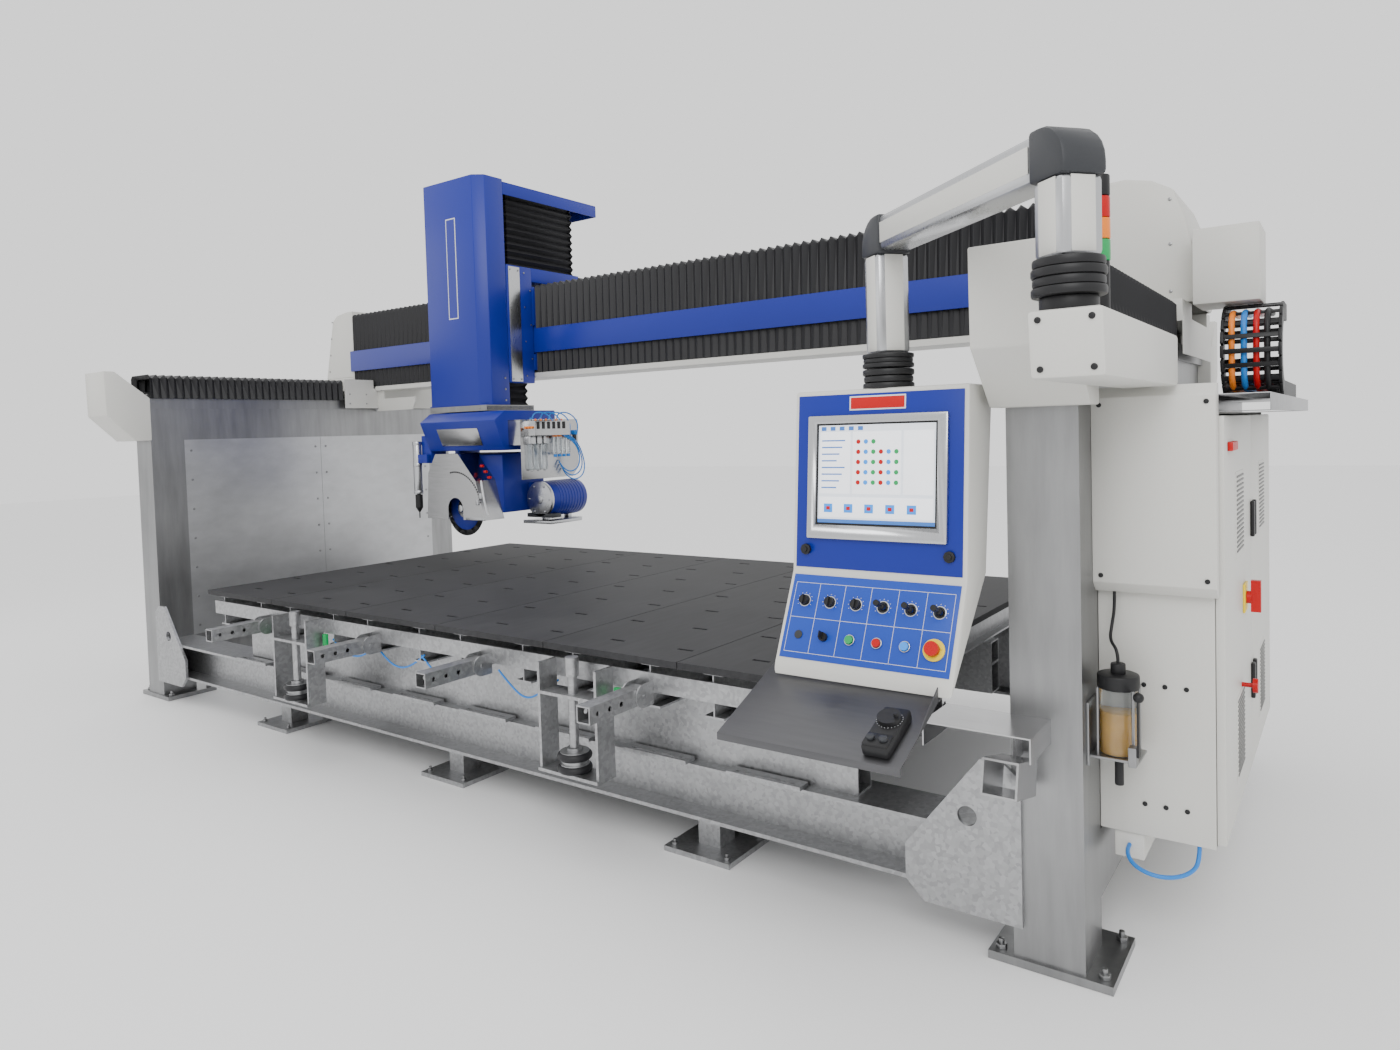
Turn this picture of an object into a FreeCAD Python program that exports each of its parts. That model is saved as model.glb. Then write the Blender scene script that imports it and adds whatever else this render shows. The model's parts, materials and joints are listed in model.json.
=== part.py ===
"""Five-axis CNC bridge saw for stone slabs. Millimetres, +Z up, +X along the bridge, +Y to the rear.

The origin is on the floor, under the middle of the machine.
"""
import FreeCAD, Part
import math
import os

Vec = FreeCAD.Vector

# ---- side frames -------------------------------------------------------------------------------
HALF_SPAN = 2662.5        # centre plane to the inner face of a column
COLUMN = 200.0            # square tube of columns and side beams
TUBE_WALL = 10.0
FRAME_FRONT = -910.0      # front face of the front columns
FRAME_DEPTH = 2310.0
FRAME_TOP = 1840.0
BASE_PLATE_X = 350.0
BASE_PLATE_Y = 300.0
BASE_PLATE_T = 25.0
BASE_PLATE_SHIFT = 40.0   # the plates stand this far towards the middle of the machine
ANCHOR_X = 290.0
ANCHOR_Y = 230.0
ANCHOR_R = 11.0
SHEET = 4.0
MID_POST = 80.0

# ---- base and table ----------------------------------------------------------------------------
BEAM_BOTTOM = 170.0
BEAM_H = 206.0
FLANGE_T = 14.0
WEB_T = 10.0
SLEEPER_W = 100.0
SLEEPERS_X = (-1457.5, 12.5, 1477.5)
FOOT_POST = 100.0
FOOT_PLATE_X = 300.0
FOOT_PLATE_Y = 280.0
FOOT_PLATE_T = 20.0
FOOT_BOLT_X = 240.0
FOOT_BOLT_Y = 220.0
FOOT_BOLT_R = 9.0
TABLE_LEFT = -1727.5
TABLE_WIDTH = 3940.0
TABLE_FRONT = -1060.0
TABLE_DEPTH = 2240.0
TABLE_TOP = 795.0
BOARD_T = 25.0
BOARD_GAP = 4.0
BOARDS = 6
JOIST_H = 160.0
JOIST_W = 82.0
JOIST_SETBACK = 20.0
BEARER_W = 100.0
SLOT_LONG = 70.0
SLOT_WIDE = 16.0
RAIL_BAR_T = 12.0
STOPS_X = (-1077.5, -197.5, 552.5, 1402.5)
STOP_TUBE = 60.0
STOP_LENGTH = 300.0
STOP_PIN_R = 8.0
STOP_PIN_BACK = 25.0      # pin to the arm's rear end
STOP_FROM_EDGE = 45.0     # board edge to the pin
STOP_PIN_Z = 670.0
LIFTS_X = (-772.5, 1097.5)
LIFT_W = 300.0
LIFT_POST_R = 18.0
LIFT_FROM_EDGE = 50.0

# ---- rails and gantry --------------------------------------------------------------------------
RAIL_X = 2782.5           # centre plane to the middle of a side rail
BED_W = 200.0
BED_H = 65.0
RAIL_W = 45.0
RAIL_H = 45.0
BELLOWS_W = 260.0
BELLOWS_H = 150.0
BELLOWS_T = 10.0
CAP_W = 270.0
CAP_LENGTH = 255.0
CAP_TOP = 2065.0
CAP_BOTTOM = 1640.0
TRUCK_FRONT = 440.0
TRUCK_LENGTH = 800.0
TRUCK_W = 300.0
TRUCK_PLATE_Z = 1975.0
TRUCK_PLATE_T = 20.0
TRUCK_SKIRT_BOTTOM = 1846.0
BRIDGE_FACE = 712.0       # front face of the bridge bellows
BRIDGE_REAR = 1135.0
BRIDGE_LEFT = -2903.5
BRIDGE_RIGHT = 2830.0
BRIDGE_TOP = 2587.0
BEAM_FRONT = 790.0
BEAM_REAR = 1125.0
BEAM_TOP = 2530.0
HOUSING_LEFT = 2562.5
STRIP_Z = (2144.0, 2300.0)
STRIP_Y = (694.0, 702.0)
CROSS_RAIL_D = 25.0
CROSS_RAIL_H = 35.0
CROSS_RAILS_Z = (2045.0, 2440.0)

# ---- carriage, ram and head --------------------------------------------------------------------
HEAD_X = -1157.5
SADDLE_W = 580.0
SADDLE_SHIFT = -20.0
SADDLE_FRONT = 470.0
SADDLE_REAR = 690.0
SADDLE_BOTTOM = 1942.0
SADDLE_TOP = 2690.0
COVER_FRONT = 266.0
COVER_REAR = 466.0
RAM_W = 540.0
RAM_TOP = 3205.0
RAM_BOTTOM = 1765.0
RAM_RAIL_X = 110.0
RAM_RAIL = 25.0
SWIVEL_Y = 480.0
HEAD_TOP = 1760.0
HEAD_BOTTOM = 1517.0
HEAD_LEFT = -1437.5
HEAD_RIGHT = -727.5
TILT_Y = 590.0
TILT_Z = 1180.0
TRUNNION_R = 35.0
RUNNING = 0.05            # radial clearance of the running fits
GAP = 0.5                 # gap between pieces that move past each other
TILT_LEFT = -1437.0
GUARD_RIGHT = -887.5
GUARD_FRONT = 220.0
GUARD_REAR = 380.0
GUARD_BOTTOM = 1085.0
BLADE_R = 175.0
BLADE_T = 4.0
BLADE_Y = 300.0
BLADE_Z = 1150.0
SPINDLE_R = 20.0
MOTOR_X = -757.5
MOTOR_Z = 1195.0
MOTOR_R = 115.0
MOTOR_FRONT = 560.0
MOTOR_REAR = 890.0
PROBE_X = -1557.5
PROBE_Y = 250.0
PROBE_R = 30.0
PROBE_ROD_R = 12.0

# ---- console and its arm -----------------------------------------------------------------------
POST_X = 2997.5
POST_Y = -1547.0
DROP_X = 2348.0
DROP_Y = -1010.0
ARM_W = 100.0
COUPLING_R = 76.0
CONSOLE_W = 550.0
PLATE_T = 2.0             # blue plates on the console
BUTTON_R = 12.0
BUTTON_PITCH = 84.0
BUTTON_FIRST = 65.0
BUTTON_ROWS = (85.0, 190.0)
TRAY_SHEET = 3.0

# ---- cabinet -----------------------------------------------------------------------------------
CABINET_BACK = HALF_SPAN + COLUMN
CABINET_FRONT = 3167.5    # where the doors meet the body
CABINET_Y = (-710.0, 790.0)
CABINET_Z = (385.0, 1610.0)
DOOR_T = 25.0
DOOR_Z = (400.0, 1600.0)
DOOR_SPLIT = 40.0
TRAY_X = (3042.5, 3302.5)
CHAIN_X = (3062.5, 3262.5)
CHAIN_H = 70.0
CHAIN_R = 184.0


# ---- shapes ------------------------------------------------------------------------------------
def box(x0, x1, y0, y1, z0, z1):
    """A block between two corners."""
    return Part.makeBox(x1 - x0, y1 - y0, z1 - z0, Vec(x0, y0, z0))


def rod(radius, base, length, axis):
    """A cylinder from base along axis."""
    return Part.makeCylinder(radius, length, Vec(*base), Vec(*axis))


def plate(points, normal, start, thickness):
    """A flat outline raised along a main axis: points are the other two coordinates, in order."""
    places = {"x": lambda a, b: Vec(start, a, b),
              "y": lambda a, b: Vec(a, start, b),
              "z": lambda a, b: Vec(a, b, start)}
    ways = {"x": Vec(thickness, 0, 0), "y": Vec(0, thickness, 0), "z": Vec(0, 0, thickness)}
    corners = [places[normal](a, b) for a, b in points]
    face = Part.Face(Part.makePolygon(corners + corners[:1]))
    return face.extrude(ways[normal])


def fuse(solids):
    """One solid from pieces that are welded or cast together."""
    return solids[0].fuse(list(solids[1:])).removeSplitter()


def square_tube(x0, x1, y0, y1, z0, z1, wall, along):
    """A square tube with open ends, along x, y or z."""
    inner = {"x": (x0, x1, y0 + wall, y1 - wall, z0 + wall, z1 - wall),
             "y": (x0 + wall, x1 - wall, y0, y1, z0 + wall, z1 - wall),
             "z": (x0 + wall, x1 - wall, y0 + wall, y1 - wall, z0, z1)}
    return box(x0, x1, y0, y1, z0, z1).cut(box(*inner[along]))


def i_beam(along, centre, start, end, bottom, width, height, flange, web):
    """A rolled I section along x or y, centred on the other coordinate."""
    w, t = width / 2, web / 2
    top = bottom + height
    outline = [(-w, bottom), (w, bottom), (w, bottom + flange), (t, bottom + flange),
               (t, top - flange), (w, top - flange), (w, top), (-w, top), (-w, top - flange),
               (-t, top - flange), (-t, bottom + flange), (-w, bottom + flange)]
    points = [(centre + a, b) for a, b in outline]
    return plate(points, along, start, end - start)


def mirrored_y(solid):
    """The same piece at the other end of the side frames."""
    middle = FRAME_FRONT + FRAME_DEPTH / 2
    return solid.mirror(Vec(0, middle, 0), Vec(0, 1, 0))


def mirrored_x(solid):
    """The same piece on the other side of the machine."""
    return solid.mirror(Vec(0, 0, 0), Vec(1, 0, 0))


def corners(solid):
    """Four copies, one for each corner of the machine, from the front right one."""
    right = [solid, mirrored_y(solid)]
    return right + [mirrored_x(piece) for piece in right]


def save(node, solids):
    """Write one node."""
    Part.makeCompound(list(solids)).exportStep(os.path.join("parts", node + ".step"))


def cord(points, radius, name):
    """A round cord of straight runs and tangent arcs, as large as its runs allow."""
    route = [Vec(*p) for p in points]
    edges = []
    radii = []
    last = route[0]
    for before, here, after in zip(route, route[1:], route[2:]):
        back = before - here
        ahead = after - here
        run = 0.45 * min(back.Length, ahead.Length)
        turn = math.pi - back.getAngle(ahead)
        radii.append(run / math.tan(turn / 2))
        start = here + back.normalize() * run
        end = here + ahead.normalize() * run
        bend = run / math.tan(turn / 2)
        inward = (back + ahead).normalize()
        middle = here + inward * (bend / math.cos(turn / 2) - bend)
        edges.append(Part.LineSegment(last, start).toShape())
        edges.append(Part.Arc(start, middle, end).toShape())
        last = end
    edges.append(Part.LineSegment(last, route[-1]).toShape())
    path = Part.Wire(edges)
    section = Part.Wire([Part.makeCircle(radius, route[0], route[1] - route[0])])
    tube = path.makePipeShell([section], True, True)
    expected = math.pi * radius ** 2 * path.Length
    print(name, "radii", [round(r) for r in radii], "length", round(path.Length),
          "volume ratio", round(tube.Volume / expected, 4))
    return tube


# ---- side frames -------------------------------------------------------------------------------
def columns():
    """Four columns, each on a base plate with four anchor holes."""
    x0, x1 = HALF_SPAN, HALF_SPAN + COLUMN
    y0, y1 = FRAME_FRONT, FRAME_FRONT + COLUMN
    post = square_tube(x0, x1, y0, y1, BASE_PLATE_T, FRAME_TOP, TUBE_WALL, "z")
    cx = (x0 + x1) / 2
    cy = (y0 + y1) / 2 + BASE_PLATE_SHIFT
    foot = box(cx - BASE_PLATE_X / 2, cx + BASE_PLATE_X / 2,
               cy - BASE_PLATE_Y / 2, cy + BASE_PLATE_Y / 2, 0, BASE_PLATE_T)
    holes = [rod(ANCHOR_R, (cx + sx * ANCHOR_X / 2, cy + sy * ANCHOR_Y / 2, 0), BASE_PLATE_T, (0, 0, 1))
             for sx in (-1, 1) for sy in (-1, 1)]
    return corners(post) + corners(foot.cut(holes))


def side_beams():
    """Top and bottom beams and the middle post of each side frame, and the rails that carry the cabinet."""
    x0, x1 = HALF_SPAN, HALF_SPAN + COLUMN
    y0 = FRAME_FRONT + COLUMN
    y1 = FRAME_FRONT + FRAME_DEPTH - COLUMN
    beam_top = BEAM_BOTTOM + BEAM_H
    top = square_tube(x0, x1, y0, y1, FRAME_TOP - COLUMN, FRAME_TOP, TUBE_WALL, "y")
    bottom = square_tube(x0, x1, y0, y1, BEAM_BOTTOM, beam_top, TUBE_WALL, "y")
    middle = (y0 + y1) / 2
    post = box(x0 + SHEET, x0 + SHEET + MID_POST, middle - MID_POST / 2, middle + MID_POST / 2,
               beam_top, FRAME_TOP - COLUMN)
    pair = [top, bottom, post]
    hangers = [box(x0 + SHEET + MID_POST, x1, y0, y1, z, z + 60) for z in (500.0, 1400.0)]
    return pair + [mirrored_x(piece) for piece in pair] + hangers


def wall_panels():
    """Two galvanised sheets inside each side frame."""
    y0 = FRAME_FRONT + COLUMN
    y1 = FRAME_FRONT + FRAME_DEPTH - COLUMN
    middle = (y0 + y1) / 2
    sheets = [box(HALF_SPAN, HALF_SPAN + SHEET, a, b, BEAM_BOTTOM + BEAM_H, FRAME_TOP - COLUMN)
              for a, b in ((y0, middle - 1), (middle + 1, y1))]
    return sheets + [mirrored_x(sheet) for sheet in sheets]


def rail_beds():
    """Machined bed on each side frame, with its linear rail and rack."""
    y0, y1 = FRAME_FRONT + 5, FRAME_FRONT + FRAME_DEPTH - 5
    top = FRAME_TOP + BED_H
    bed = box(RAIL_X - BED_W / 2, RAIL_X + BED_W / 2, y0, y1, FRAME_TOP, top)
    rail = box(RAIL_X - RAIL_W / 2, RAIL_X + RAIL_W / 2, y0, y1, top, top + RAIL_H)
    rack = box(RAIL_X - 90, RAIL_X - 62, y0, y1, top, top + 30)
    right = [bed, rail, rack]
    return right + [mirrored_x(piece) for piece in right]


def end_caps():
    """Sheet covers on both ends of both rails, sloping down to the bellows."""
    y = FRAME_FRONT
    outline = [(y - CAP_LENGTH, CAP_TOP), (y - CAP_LENGTH + 60, CAP_TOP), (y, FRAME_TOP + BED_H),
               (y, CAP_BOTTOM), (y - 95, CAP_BOTTOM), (y - CAP_LENGTH + 5, 1797.0)]
    return corners(plate(outline, "x", RAIL_X - CAP_W / 2, CAP_W))


def inverted_u(width, height, wall, centre, y0, y1, z0):
    """A cover open at the bottom and at both ends, along y."""
    outer = box(centre - width / 2, centre + width / 2, y0, y1, z0, z0 + height)
    inner = box(centre - width / 2 + wall, centre + width / 2 - wall, y0, y1, z0, z0 + height - wall)
    return outer.cut(inner)


def rail_bellows():
    """Bellows over each rail, in front of and behind its truck."""
    z0 = FRAME_TOP + BED_H + GAP
    spans = ((FRAME_FRONT + 5, TRUCK_FRONT - GAP),
             (TRUCK_FRONT + TRUCK_LENGTH + GAP, FRAME_FRONT + FRAME_DEPTH - 5))
    right = [inverted_u(BELLOWS_W, BELLOWS_H, BELLOWS_T, RAIL_X, a, b, z0) for a, b in spans]
    return right + [mirrored_x(piece) for piece in right]


# ---- base and table ----------------------------------------------------------------------------
def cross_beams():
    """Front and rear beams between the columns, three sleepers between them and the corner gussets."""
    front = i_beam("x", FRAME_FRONT + COLUMN / 2, -HALF_SPAN, HALF_SPAN, BEAM_BOTTOM, COLUMN, BEAM_H,
                   FLANGE_T, WEB_T)
    y0 = FRAME_FRONT + COLUMN
    y1 = FRAME_FRONT + FRAME_DEPTH - COLUMN
    sleepers = [box(x - SLEEPER_W / 2, x + SLEEPER_W / 2, y0, y1, BEAM_BOTTOM, BEAM_BOTTOM + BEAM_H)
                for x in SLEEPERS_X]
    x = HALF_SPAN
    outline = [(x + 30, 120.0), (x + 30, 560.0), (x - 20, 600.0), (x - 90, 600.0), (x - 330, 290.0),
               (x - 330, 180.0), (x - 270, 120.0)]
    gusset = plate(outline, "y", FRAME_FRONT - 15, 15)
    gusset = gusset.cut(rod(30.0, (x - 130, FRAME_FRONT - 15, 420), 15, (0, 1, 0)))
    return [front, mirrored_y(front)] + sleepers + corners(gusset)


def levelling_feet():
    """Six feet under the sleepers, each a post on a bolted plate."""
    y = FRAME_FRONT + COLUMN - 30
    feet = []
    for x in SLEEPERS_X:
        base = box(x - FOOT_PLATE_X / 2, x + FOOT_PLATE_X / 2, y - FOOT_PLATE_Y / 2, y + FOOT_PLATE_Y / 2,
                   0, FOOT_PLATE_T)
        holes = [rod(FOOT_BOLT_R, (x + sx * FOOT_BOLT_X / 2, y + sy * FOOT_BOLT_Y / 2, 0),
                     FOOT_PLATE_T, (0, 0, 1)) for sx in (-1, 1) for sy in (-1, 1)]
        post = box(x - FOOT_POST / 2, x + FOOT_POST / 2, y - FOOT_POST / 2, y + FOOT_POST / 2,
                   FOOT_PLATE_T, BEAM_BOTTOM)
        foot = fuse([base.cut(holes), post])
        feet += [foot, mirrored_y(foot)]
    return feet


def slide_pads():
    """Slotted slide plates along the front beam."""
    z0 = BEAM_BOTTOM + BEAM_H
    pads = []
    for index in range(8):
        x = -1700.0 + index * 480
        pad = box(x, x + 300, FRAME_FRONT - 20, FRAME_FRONT + 40, z0, z0 + 14)
        pads.append(pad.cut(box(x + 30, x + 270, FRAME_FRONT - 8, FRAME_FRONT + 8, z0, z0 + 14)))
    return pads


def table_bearers():
    """Four cross tubes on the base, each with a bearer on it."""
    z0 = BEAM_BOTTOM + BEAM_H
    z2 = TABLE_TOP - BOARD_T - JOIST_H
    z1 = z2 - BEARER_W
    right = TABLE_LEFT + TABLE_WIDTH - 70
    pieces = []
    for y in (FRAME_FRONT + 50, -200.0, 500.0, 1200.0):
        pieces.append(square_tube(TABLE_LEFT + 70, right, y, y + BEARER_W, z0, z1, 6.0, "x"))
        pieces.append(square_tube(TABLE_LEFT + 70, right, y, y + BEARER_W, z1, z2, 6.0, "x"))
    return pieces


def joist_centres():
    """Two joists under each board."""
    pitch = TABLE_WIDTH / BOARDS
    return [TABLE_LEFT + pitch * (n + 0.5) + side * 190 for n in range(BOARDS) for side in (-1, 1)]


def table_joists():
    """I-joists under the boards, and the bar across their front ends."""
    z0 = TABLE_TOP - BOARD_T - JOIST_H
    y0 = TABLE_FRONT + JOIST_SETBACK
    y1 = TABLE_FRONT + TABLE_DEPTH - JOIST_SETBACK
    joists = [i_beam("y", x, y0, y1, z0, JOIST_W, JOIST_H, 8.0, 6.0) for x in joist_centres()]
    bar = box(TABLE_LEFT + 60, TABLE_LEFT + TABLE_WIDTH - 60, y0 - RAIL_BAR_T, y0, z0 + 60, z0 + 130)
    return joists + [bar]


def table_boards():
    """Six rubber-topped boards with staggered rows of short slots."""
    pitch = TABLE_WIDTH / BOARDS
    boards = []
    for n in range(BOARDS):
        x = TABLE_LEFT + n * pitch
        board = box(x, x + pitch - BOARD_GAP, TABLE_FRONT, TABLE_FRONT + TABLE_DEPTH,
                    TABLE_TOP - BOARD_T, TABLE_TOP)
        slots = []
        for row in range(7):
            shift = 0.0 if row % 2 else pitch / 4
            for column in range(2):
                sx = x + pitch / 8 + shift + column * pitch / 2
                sy = TABLE_FRONT + 160 + row * (TABLE_DEPTH - 320) / 6
                slots.append(box(sx - SLOT_LONG / 2, sx + SLOT_LONG / 2, sy - SLOT_WIDE / 2,
                                 sy + SLOT_WIDE / 2, TABLE_TOP - BOARD_T, TABLE_TOP))
        boards.append(board.cut(slots))
    return boards


def stop_brackets():
    """A pair of rounded plates for the pin of each stop arm."""
    y1 = TABLE_FRONT + JOIST_SETBACK - RAIL_BAR_T
    y = TABLE_FRONT - STOP_FROM_EDGE
    pieces = []
    for x in STOPS_X:
        for side in (-1, 1):
            inner = x + side * (STOP_TUBE / 2 + 1)
            x0 = min(inner, inner + side * 6)
            cheek = fuse([rod(42.0, (x0, y, STOP_PIN_Z), 6, (1, 0, 0)),
                          box(x0, x0 + 6, y, y1, STOP_PIN_Z - 42, STOP_PIN_Z + 42)])
            hole = rod(STOP_PIN_R + RUNNING, (x0, y, STOP_PIN_Z), 6, (1, 0, 0))
            pieces.append(cheek.cut(hole))
    return pieces


def stop_arm(x):
    """A square tube that swings up past the board edge, with its pin and three holes."""
    y = TABLE_FRONT - STOP_FROM_EDGE
    half = STOP_TUBE / 2
    front = y + STOP_PIN_BACK - STOP_LENGTH
    tube = square_tube(x - half, x + half, front, y + STOP_PIN_BACK, STOP_PIN_Z - half,
                       STOP_PIN_Z + half, 5.0, "y")
    holes = [rod(9.0, (x - half, front + 40 + 60 * n, STOP_PIN_Z), STOP_TUBE, (1, 0, 0)) for n in range(3)]
    pin = rod(STOP_PIN_R, (x - half - 12, y, STOP_PIN_Z), STOP_TUBE + 24, (1, 0, 0))
    return [fuse([tube.cut(holes), pin])]


def lift_frames():
    """Hanging frames of the two slab lifts, each with an air spring and a guide for its post."""
    y1 = TABLE_FRONT + JOIST_SETBACK - RAIL_BAR_T
    y = TABLE_FRONT - LIFT_FROM_EDGE
    pieces = []
    for x in LIFTS_X:
        left, right = x - LIFT_W / 2, x + LIFT_W / 2
        bars = [box(a, a + 12, y - 35, y1, 337, 740) for a in (left, right - 12)]
        bottom = box(left, right, y - 45, y1, 325, 337)
        top = box(left + 12, right - 12, y - 35, y1, 620, 632)
        top = top.cut(rod(LIFT_POST_R + RUNNING, (x, y, 620), 12, (0, 0, 1)))
        spring = fuse([rod(55.0, (x, y, 337), 34, (0, 0, 1)), rod(48.0, (x, y, 371), 12, (0, 0, 1)),
                       rod(55.0, (x, y, 383), 34, (0, 0, 1)), rod(30.0, (x, y, 417), 12, (0, 0, 1))])
        pieces += bars + [bottom, top, spring]
    return pieces


def lift_post(x):
    """Post of a slab lift, with a head that rises above the table."""
    y = TABLE_FRONT - LIFT_FROM_EDGE
    return [fuse([rod(LIFT_POST_R, (x, y, 430), 330, (0, 0, 1)), rod(26.0, (x, y, 700), 70, (0, 0, 1))])]


def tool_shelf():
    """Stainless shelf on the right column, with a square tube off-cut hung under it."""
    x0 = HALF_SPAN - 190
    x1 = HALF_SPAN + 115
    y0 = FRAME_FRONT - 200
    shelf = inverted_u(x1 - x0, 70.0, 4.0, (x0 + x1) / 2, y0, FRAME_FRONT, 680.0)
    tube = square_tube(x1 - 130, x1 - 30, y0 - 20, y0 + 160, 560, 660, 6.0, "y")
    tube.rotate(Vec(x1 - 80, y0 + 70, 610), Vec(1, 0, 0), -14)
    strap = box(x1 - 84, x1 - 76, y0 + 120, y0 + 190, 640, 746)
    return [fuse([shelf, strap.cut(tube)]), tube]


# ---- gantry ------------------------------------------------------------------------------------
def bearing_block(centre, y0):
    """A rail carriage around a side rail."""
    z0 = FRAME_TOP + BED_H + 7
    rail_top = FRAME_TOP + BED_H + RAIL_H + GAP
    block = box(centre - 50, centre + 50, y0, y0 + 120, z0, TRUCK_PLATE_Z)
    return block.cut(box(centre - RAIL_W / 2 - GAP, centre + RAIL_W / 2 + GAP, y0, y0 + 120, z0, rail_top))


def gantry_trucks():
    """Carriers at both ends of the bridge, with bearing blocks, skirts, covers and the left bracket."""
    y0, y1 = TRUCK_FRONT, TRUCK_FRONT + TRUCK_LENGTH
    top = TRUCK_PLATE_Z + TRUCK_PLATE_T
    half = TRUCK_W / 2
    carrier = box(RAIL_X - half, RAIL_X + half, y0, y1, TRUCK_PLATE_Z, top)
    blocks = [bearing_block(RAIL_X, y) for y in (y0 + 20, y1 - 140)]
    skirts = [box(a, a + SHEET, y0, y1, TRUCK_SKIRT_BOTTOM, top)
              for a in (RAIL_X - half - SHEET, RAIL_X + half)]
    covers = [box(RAIL_X - half, RAIL_X + half, a, b, top, top + BED_H)
              for a, b in ((y0, BRIDGE_FACE - 24), (BRIDGE_REAR + 1, y1))]
    right = [carrier] + blocks + skirts + covers
    bracket = plate([(-HALF_SPAN + 10, 1824.0), (-2220.0, 1824.0), (-2180.0, 1880.0), (-2180.0, 1916.0),
                     (-2560.0, 1916.0), (-2560.0, 1979.5), (-HALF_SPAN + 34, 1979.5),
                     (-HALF_SPAN + 34, 1845.0)], "y", BRIDGE_FACE + 10, 12)
    return right + [mirrored_x(piece) for piece in right] + [bracket]


def bridge_beam():
    """Box beam of the bridge, with its lower flange, two linear rails and a rack."""
    z0 = TRUCK_PLATE_Z + TRUCK_PLATE_T
    tube = square_tube(BRIDGE_LEFT, BRIDGE_RIGHT, BEAM_FRONT, BEAM_REAR, z0, BEAM_TOP, TUBE_WALL, "x")
    inner = RAIL_X - TRUCK_W / 2 - SHEET
    flange = box(-inner + 2, inner - 2, BRIDGE_FACE - 12, BEAM_FRONT, z0 - 15, z0 + 17)
    rails = [box(-2600, 2540, BEAM_FRONT - CROSS_RAIL_D, BEAM_FRONT, z, z + CROSS_RAIL_H)
             for z in CROSS_RAILS_Z]
    rack = box(-2600, 2540, BEAM_FRONT - 28, BEAM_FRONT, 2200, 2230)
    return [tube, flange, rack] + rails


def bridge_covers():
    """Cream covers of both bridge ends, the blue strip between them and the cable box."""
    y0, y1 = BRIDGE_FACE - 2, BRIDGE_REAR + 5
    left = plate([(BRIDGE_LEFT, 2100.0), (-3281.5, 2100.0), (-3167.5, 2553.0), (-2977.5, 2614.0),
                  (BRIDGE_LEFT, 2614.0)], "y", y0, y1 - y0)
    lip = box(-3327.5, BRIDGE_LEFT, y0, y1, 2090, 2100)
    low = TRUCK_PLATE_Z + TRUCK_PLATE_T + BED_H
    outer = plate([(HOUSING_LEFT, low), (HOUSING_LEFT, 2582.0), (2700.0, 2590.0), (2882.5, 2520.0),
                   (2953.5, 2266.0), (2953.5, low)], "y", 590.0, 560.0)
    inner = plate([(HOUSING_LEFT - 1, low - 1), (HOUSING_LEFT - 1, 2578.0), (2700.0, 2586.0),
                   (2879.0, 2517.0), (2949.5, 2265.0), (2949.5, low - 1)], "y", 594.0, 552.0)
    housing = outer.cut(inner)
    saddle_bracket = box(2640, 2690, 850, 1050, BEAM_TOP, 2580)
    strip = box(BRIDGE_LEFT - 21, 2600, STRIP_Y[0], STRIP_Y[1], STRIP_Z[0], STRIP_Z[1])
    left_clip = box(BRIDGE_LEFT - 21, BRIDGE_LEFT, STRIP_Y[1], y0, STRIP_Z[0], STRIP_Z[1])
    right_clip = box(2570, 2600, 594, STRIP_Y[0], STRIP_Z[0], STRIP_Z[1])
    cable_box = box(2967.5, 3192.5, 440, 700, 2030, 2320)
    link = box(2953.5, 2967.5, 600, 700, 2110, 2250)
    return [left, lip, housing.fuse(saddle_bracket.common(inner)).removeSplitter(), strip, left_clip,
            right_clip, cable_box, link]


def bridge_bellows():
    """Bellows over the bridge rails on both sides of the saddle, open at the back and below."""
    saddle_left = HEAD_X + SADDLE_SHIFT - SADDLE_W / 2
    pieces = []
    for a, b in ((BRIDGE_LEFT + GAP, saddle_left - GAP), (saddle_left + SADDLE_W + GAP, HOUSING_LEFT - GAP)):
        front = box(a, b, BRIDGE_FACE, BRIDGE_FACE + 10, 2016, BRIDGE_TOP)
        top = box(a, b, BRIDGE_FACE, BRIDGE_REAR, BRIDGE_TOP - 12, BRIDGE_TOP)
        pieces.append(fuse([front, top]))
    return pieces


# ---- carriage and ram --------------------------------------------------------------------------
def saddle():
    """Carriage around the bridge: front box, rear plate with bearing blocks, hood and side strip."""
    x0 = HEAD_X + SADDLE_SHIFT - SADDLE_W / 2
    x1 = x0 + SADDLE_W
    body = box(x0, x1, SADDLE_FRONT, SADDLE_REAR, SADDLE_BOTTOM, SADDLE_TOP)
    back = box(x0, x1, BRIDGE_FACE, BRIDGE_FACE + 38, 2030, 2570)
    webs = [box(x0, x1, SADDLE_REAR, BRIDGE_FACE, a, b) for a, b in ((2030, 2134), (2320, 2570))]
    hood = box(x0, x1, SADDLE_REAR, BRIDGE_REAR, 2600, SADDLE_TOP)
    solid = fuse([body, back, hood] + webs)
    grips = []
    for z in CROSS_RAILS_Z:
        for x in (x0 + 30, x1 - 150):
            y = BRIDGE_FACE + 38
            grip = box(x, x + 120, y, BEAM_FRONT - 4, z - 25, z + CROSS_RAIL_H + 25)
            slot = box(x, x + 120, BEAM_FRONT - CROSS_RAIL_D - GAP, BEAM_FRONT, z - GAP,
                       z + CROSS_RAIL_H + GAP)
            grips.append(grip.cut(slot))
    for side in (-1, 1):
        for z in (2000.0, 2560.0):
            x = HEAD_X + side * RAM_RAIL_X
            grip = box(x - 35, x + 35, SADDLE_FRONT - 18, SADDLE_FRONT, z, z + 110)
            slot = box(x - RAM_RAIL / 2 - GAP, x + RAM_RAIL / 2 + GAP, SADDLE_FRONT - 18,
                       SADDLE_FRONT - 5 + GAP, z, z + 110)
            grips.append(grip.cut(slot))
    strip = box(x1, x1 + 5, SADDLE_FRONT + 15, SADDLE_FRONT + 110, SADDLE_BOTTOM + 8, SADDLE_TOP - 10)
    return [solid] + grips + [strip]


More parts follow.
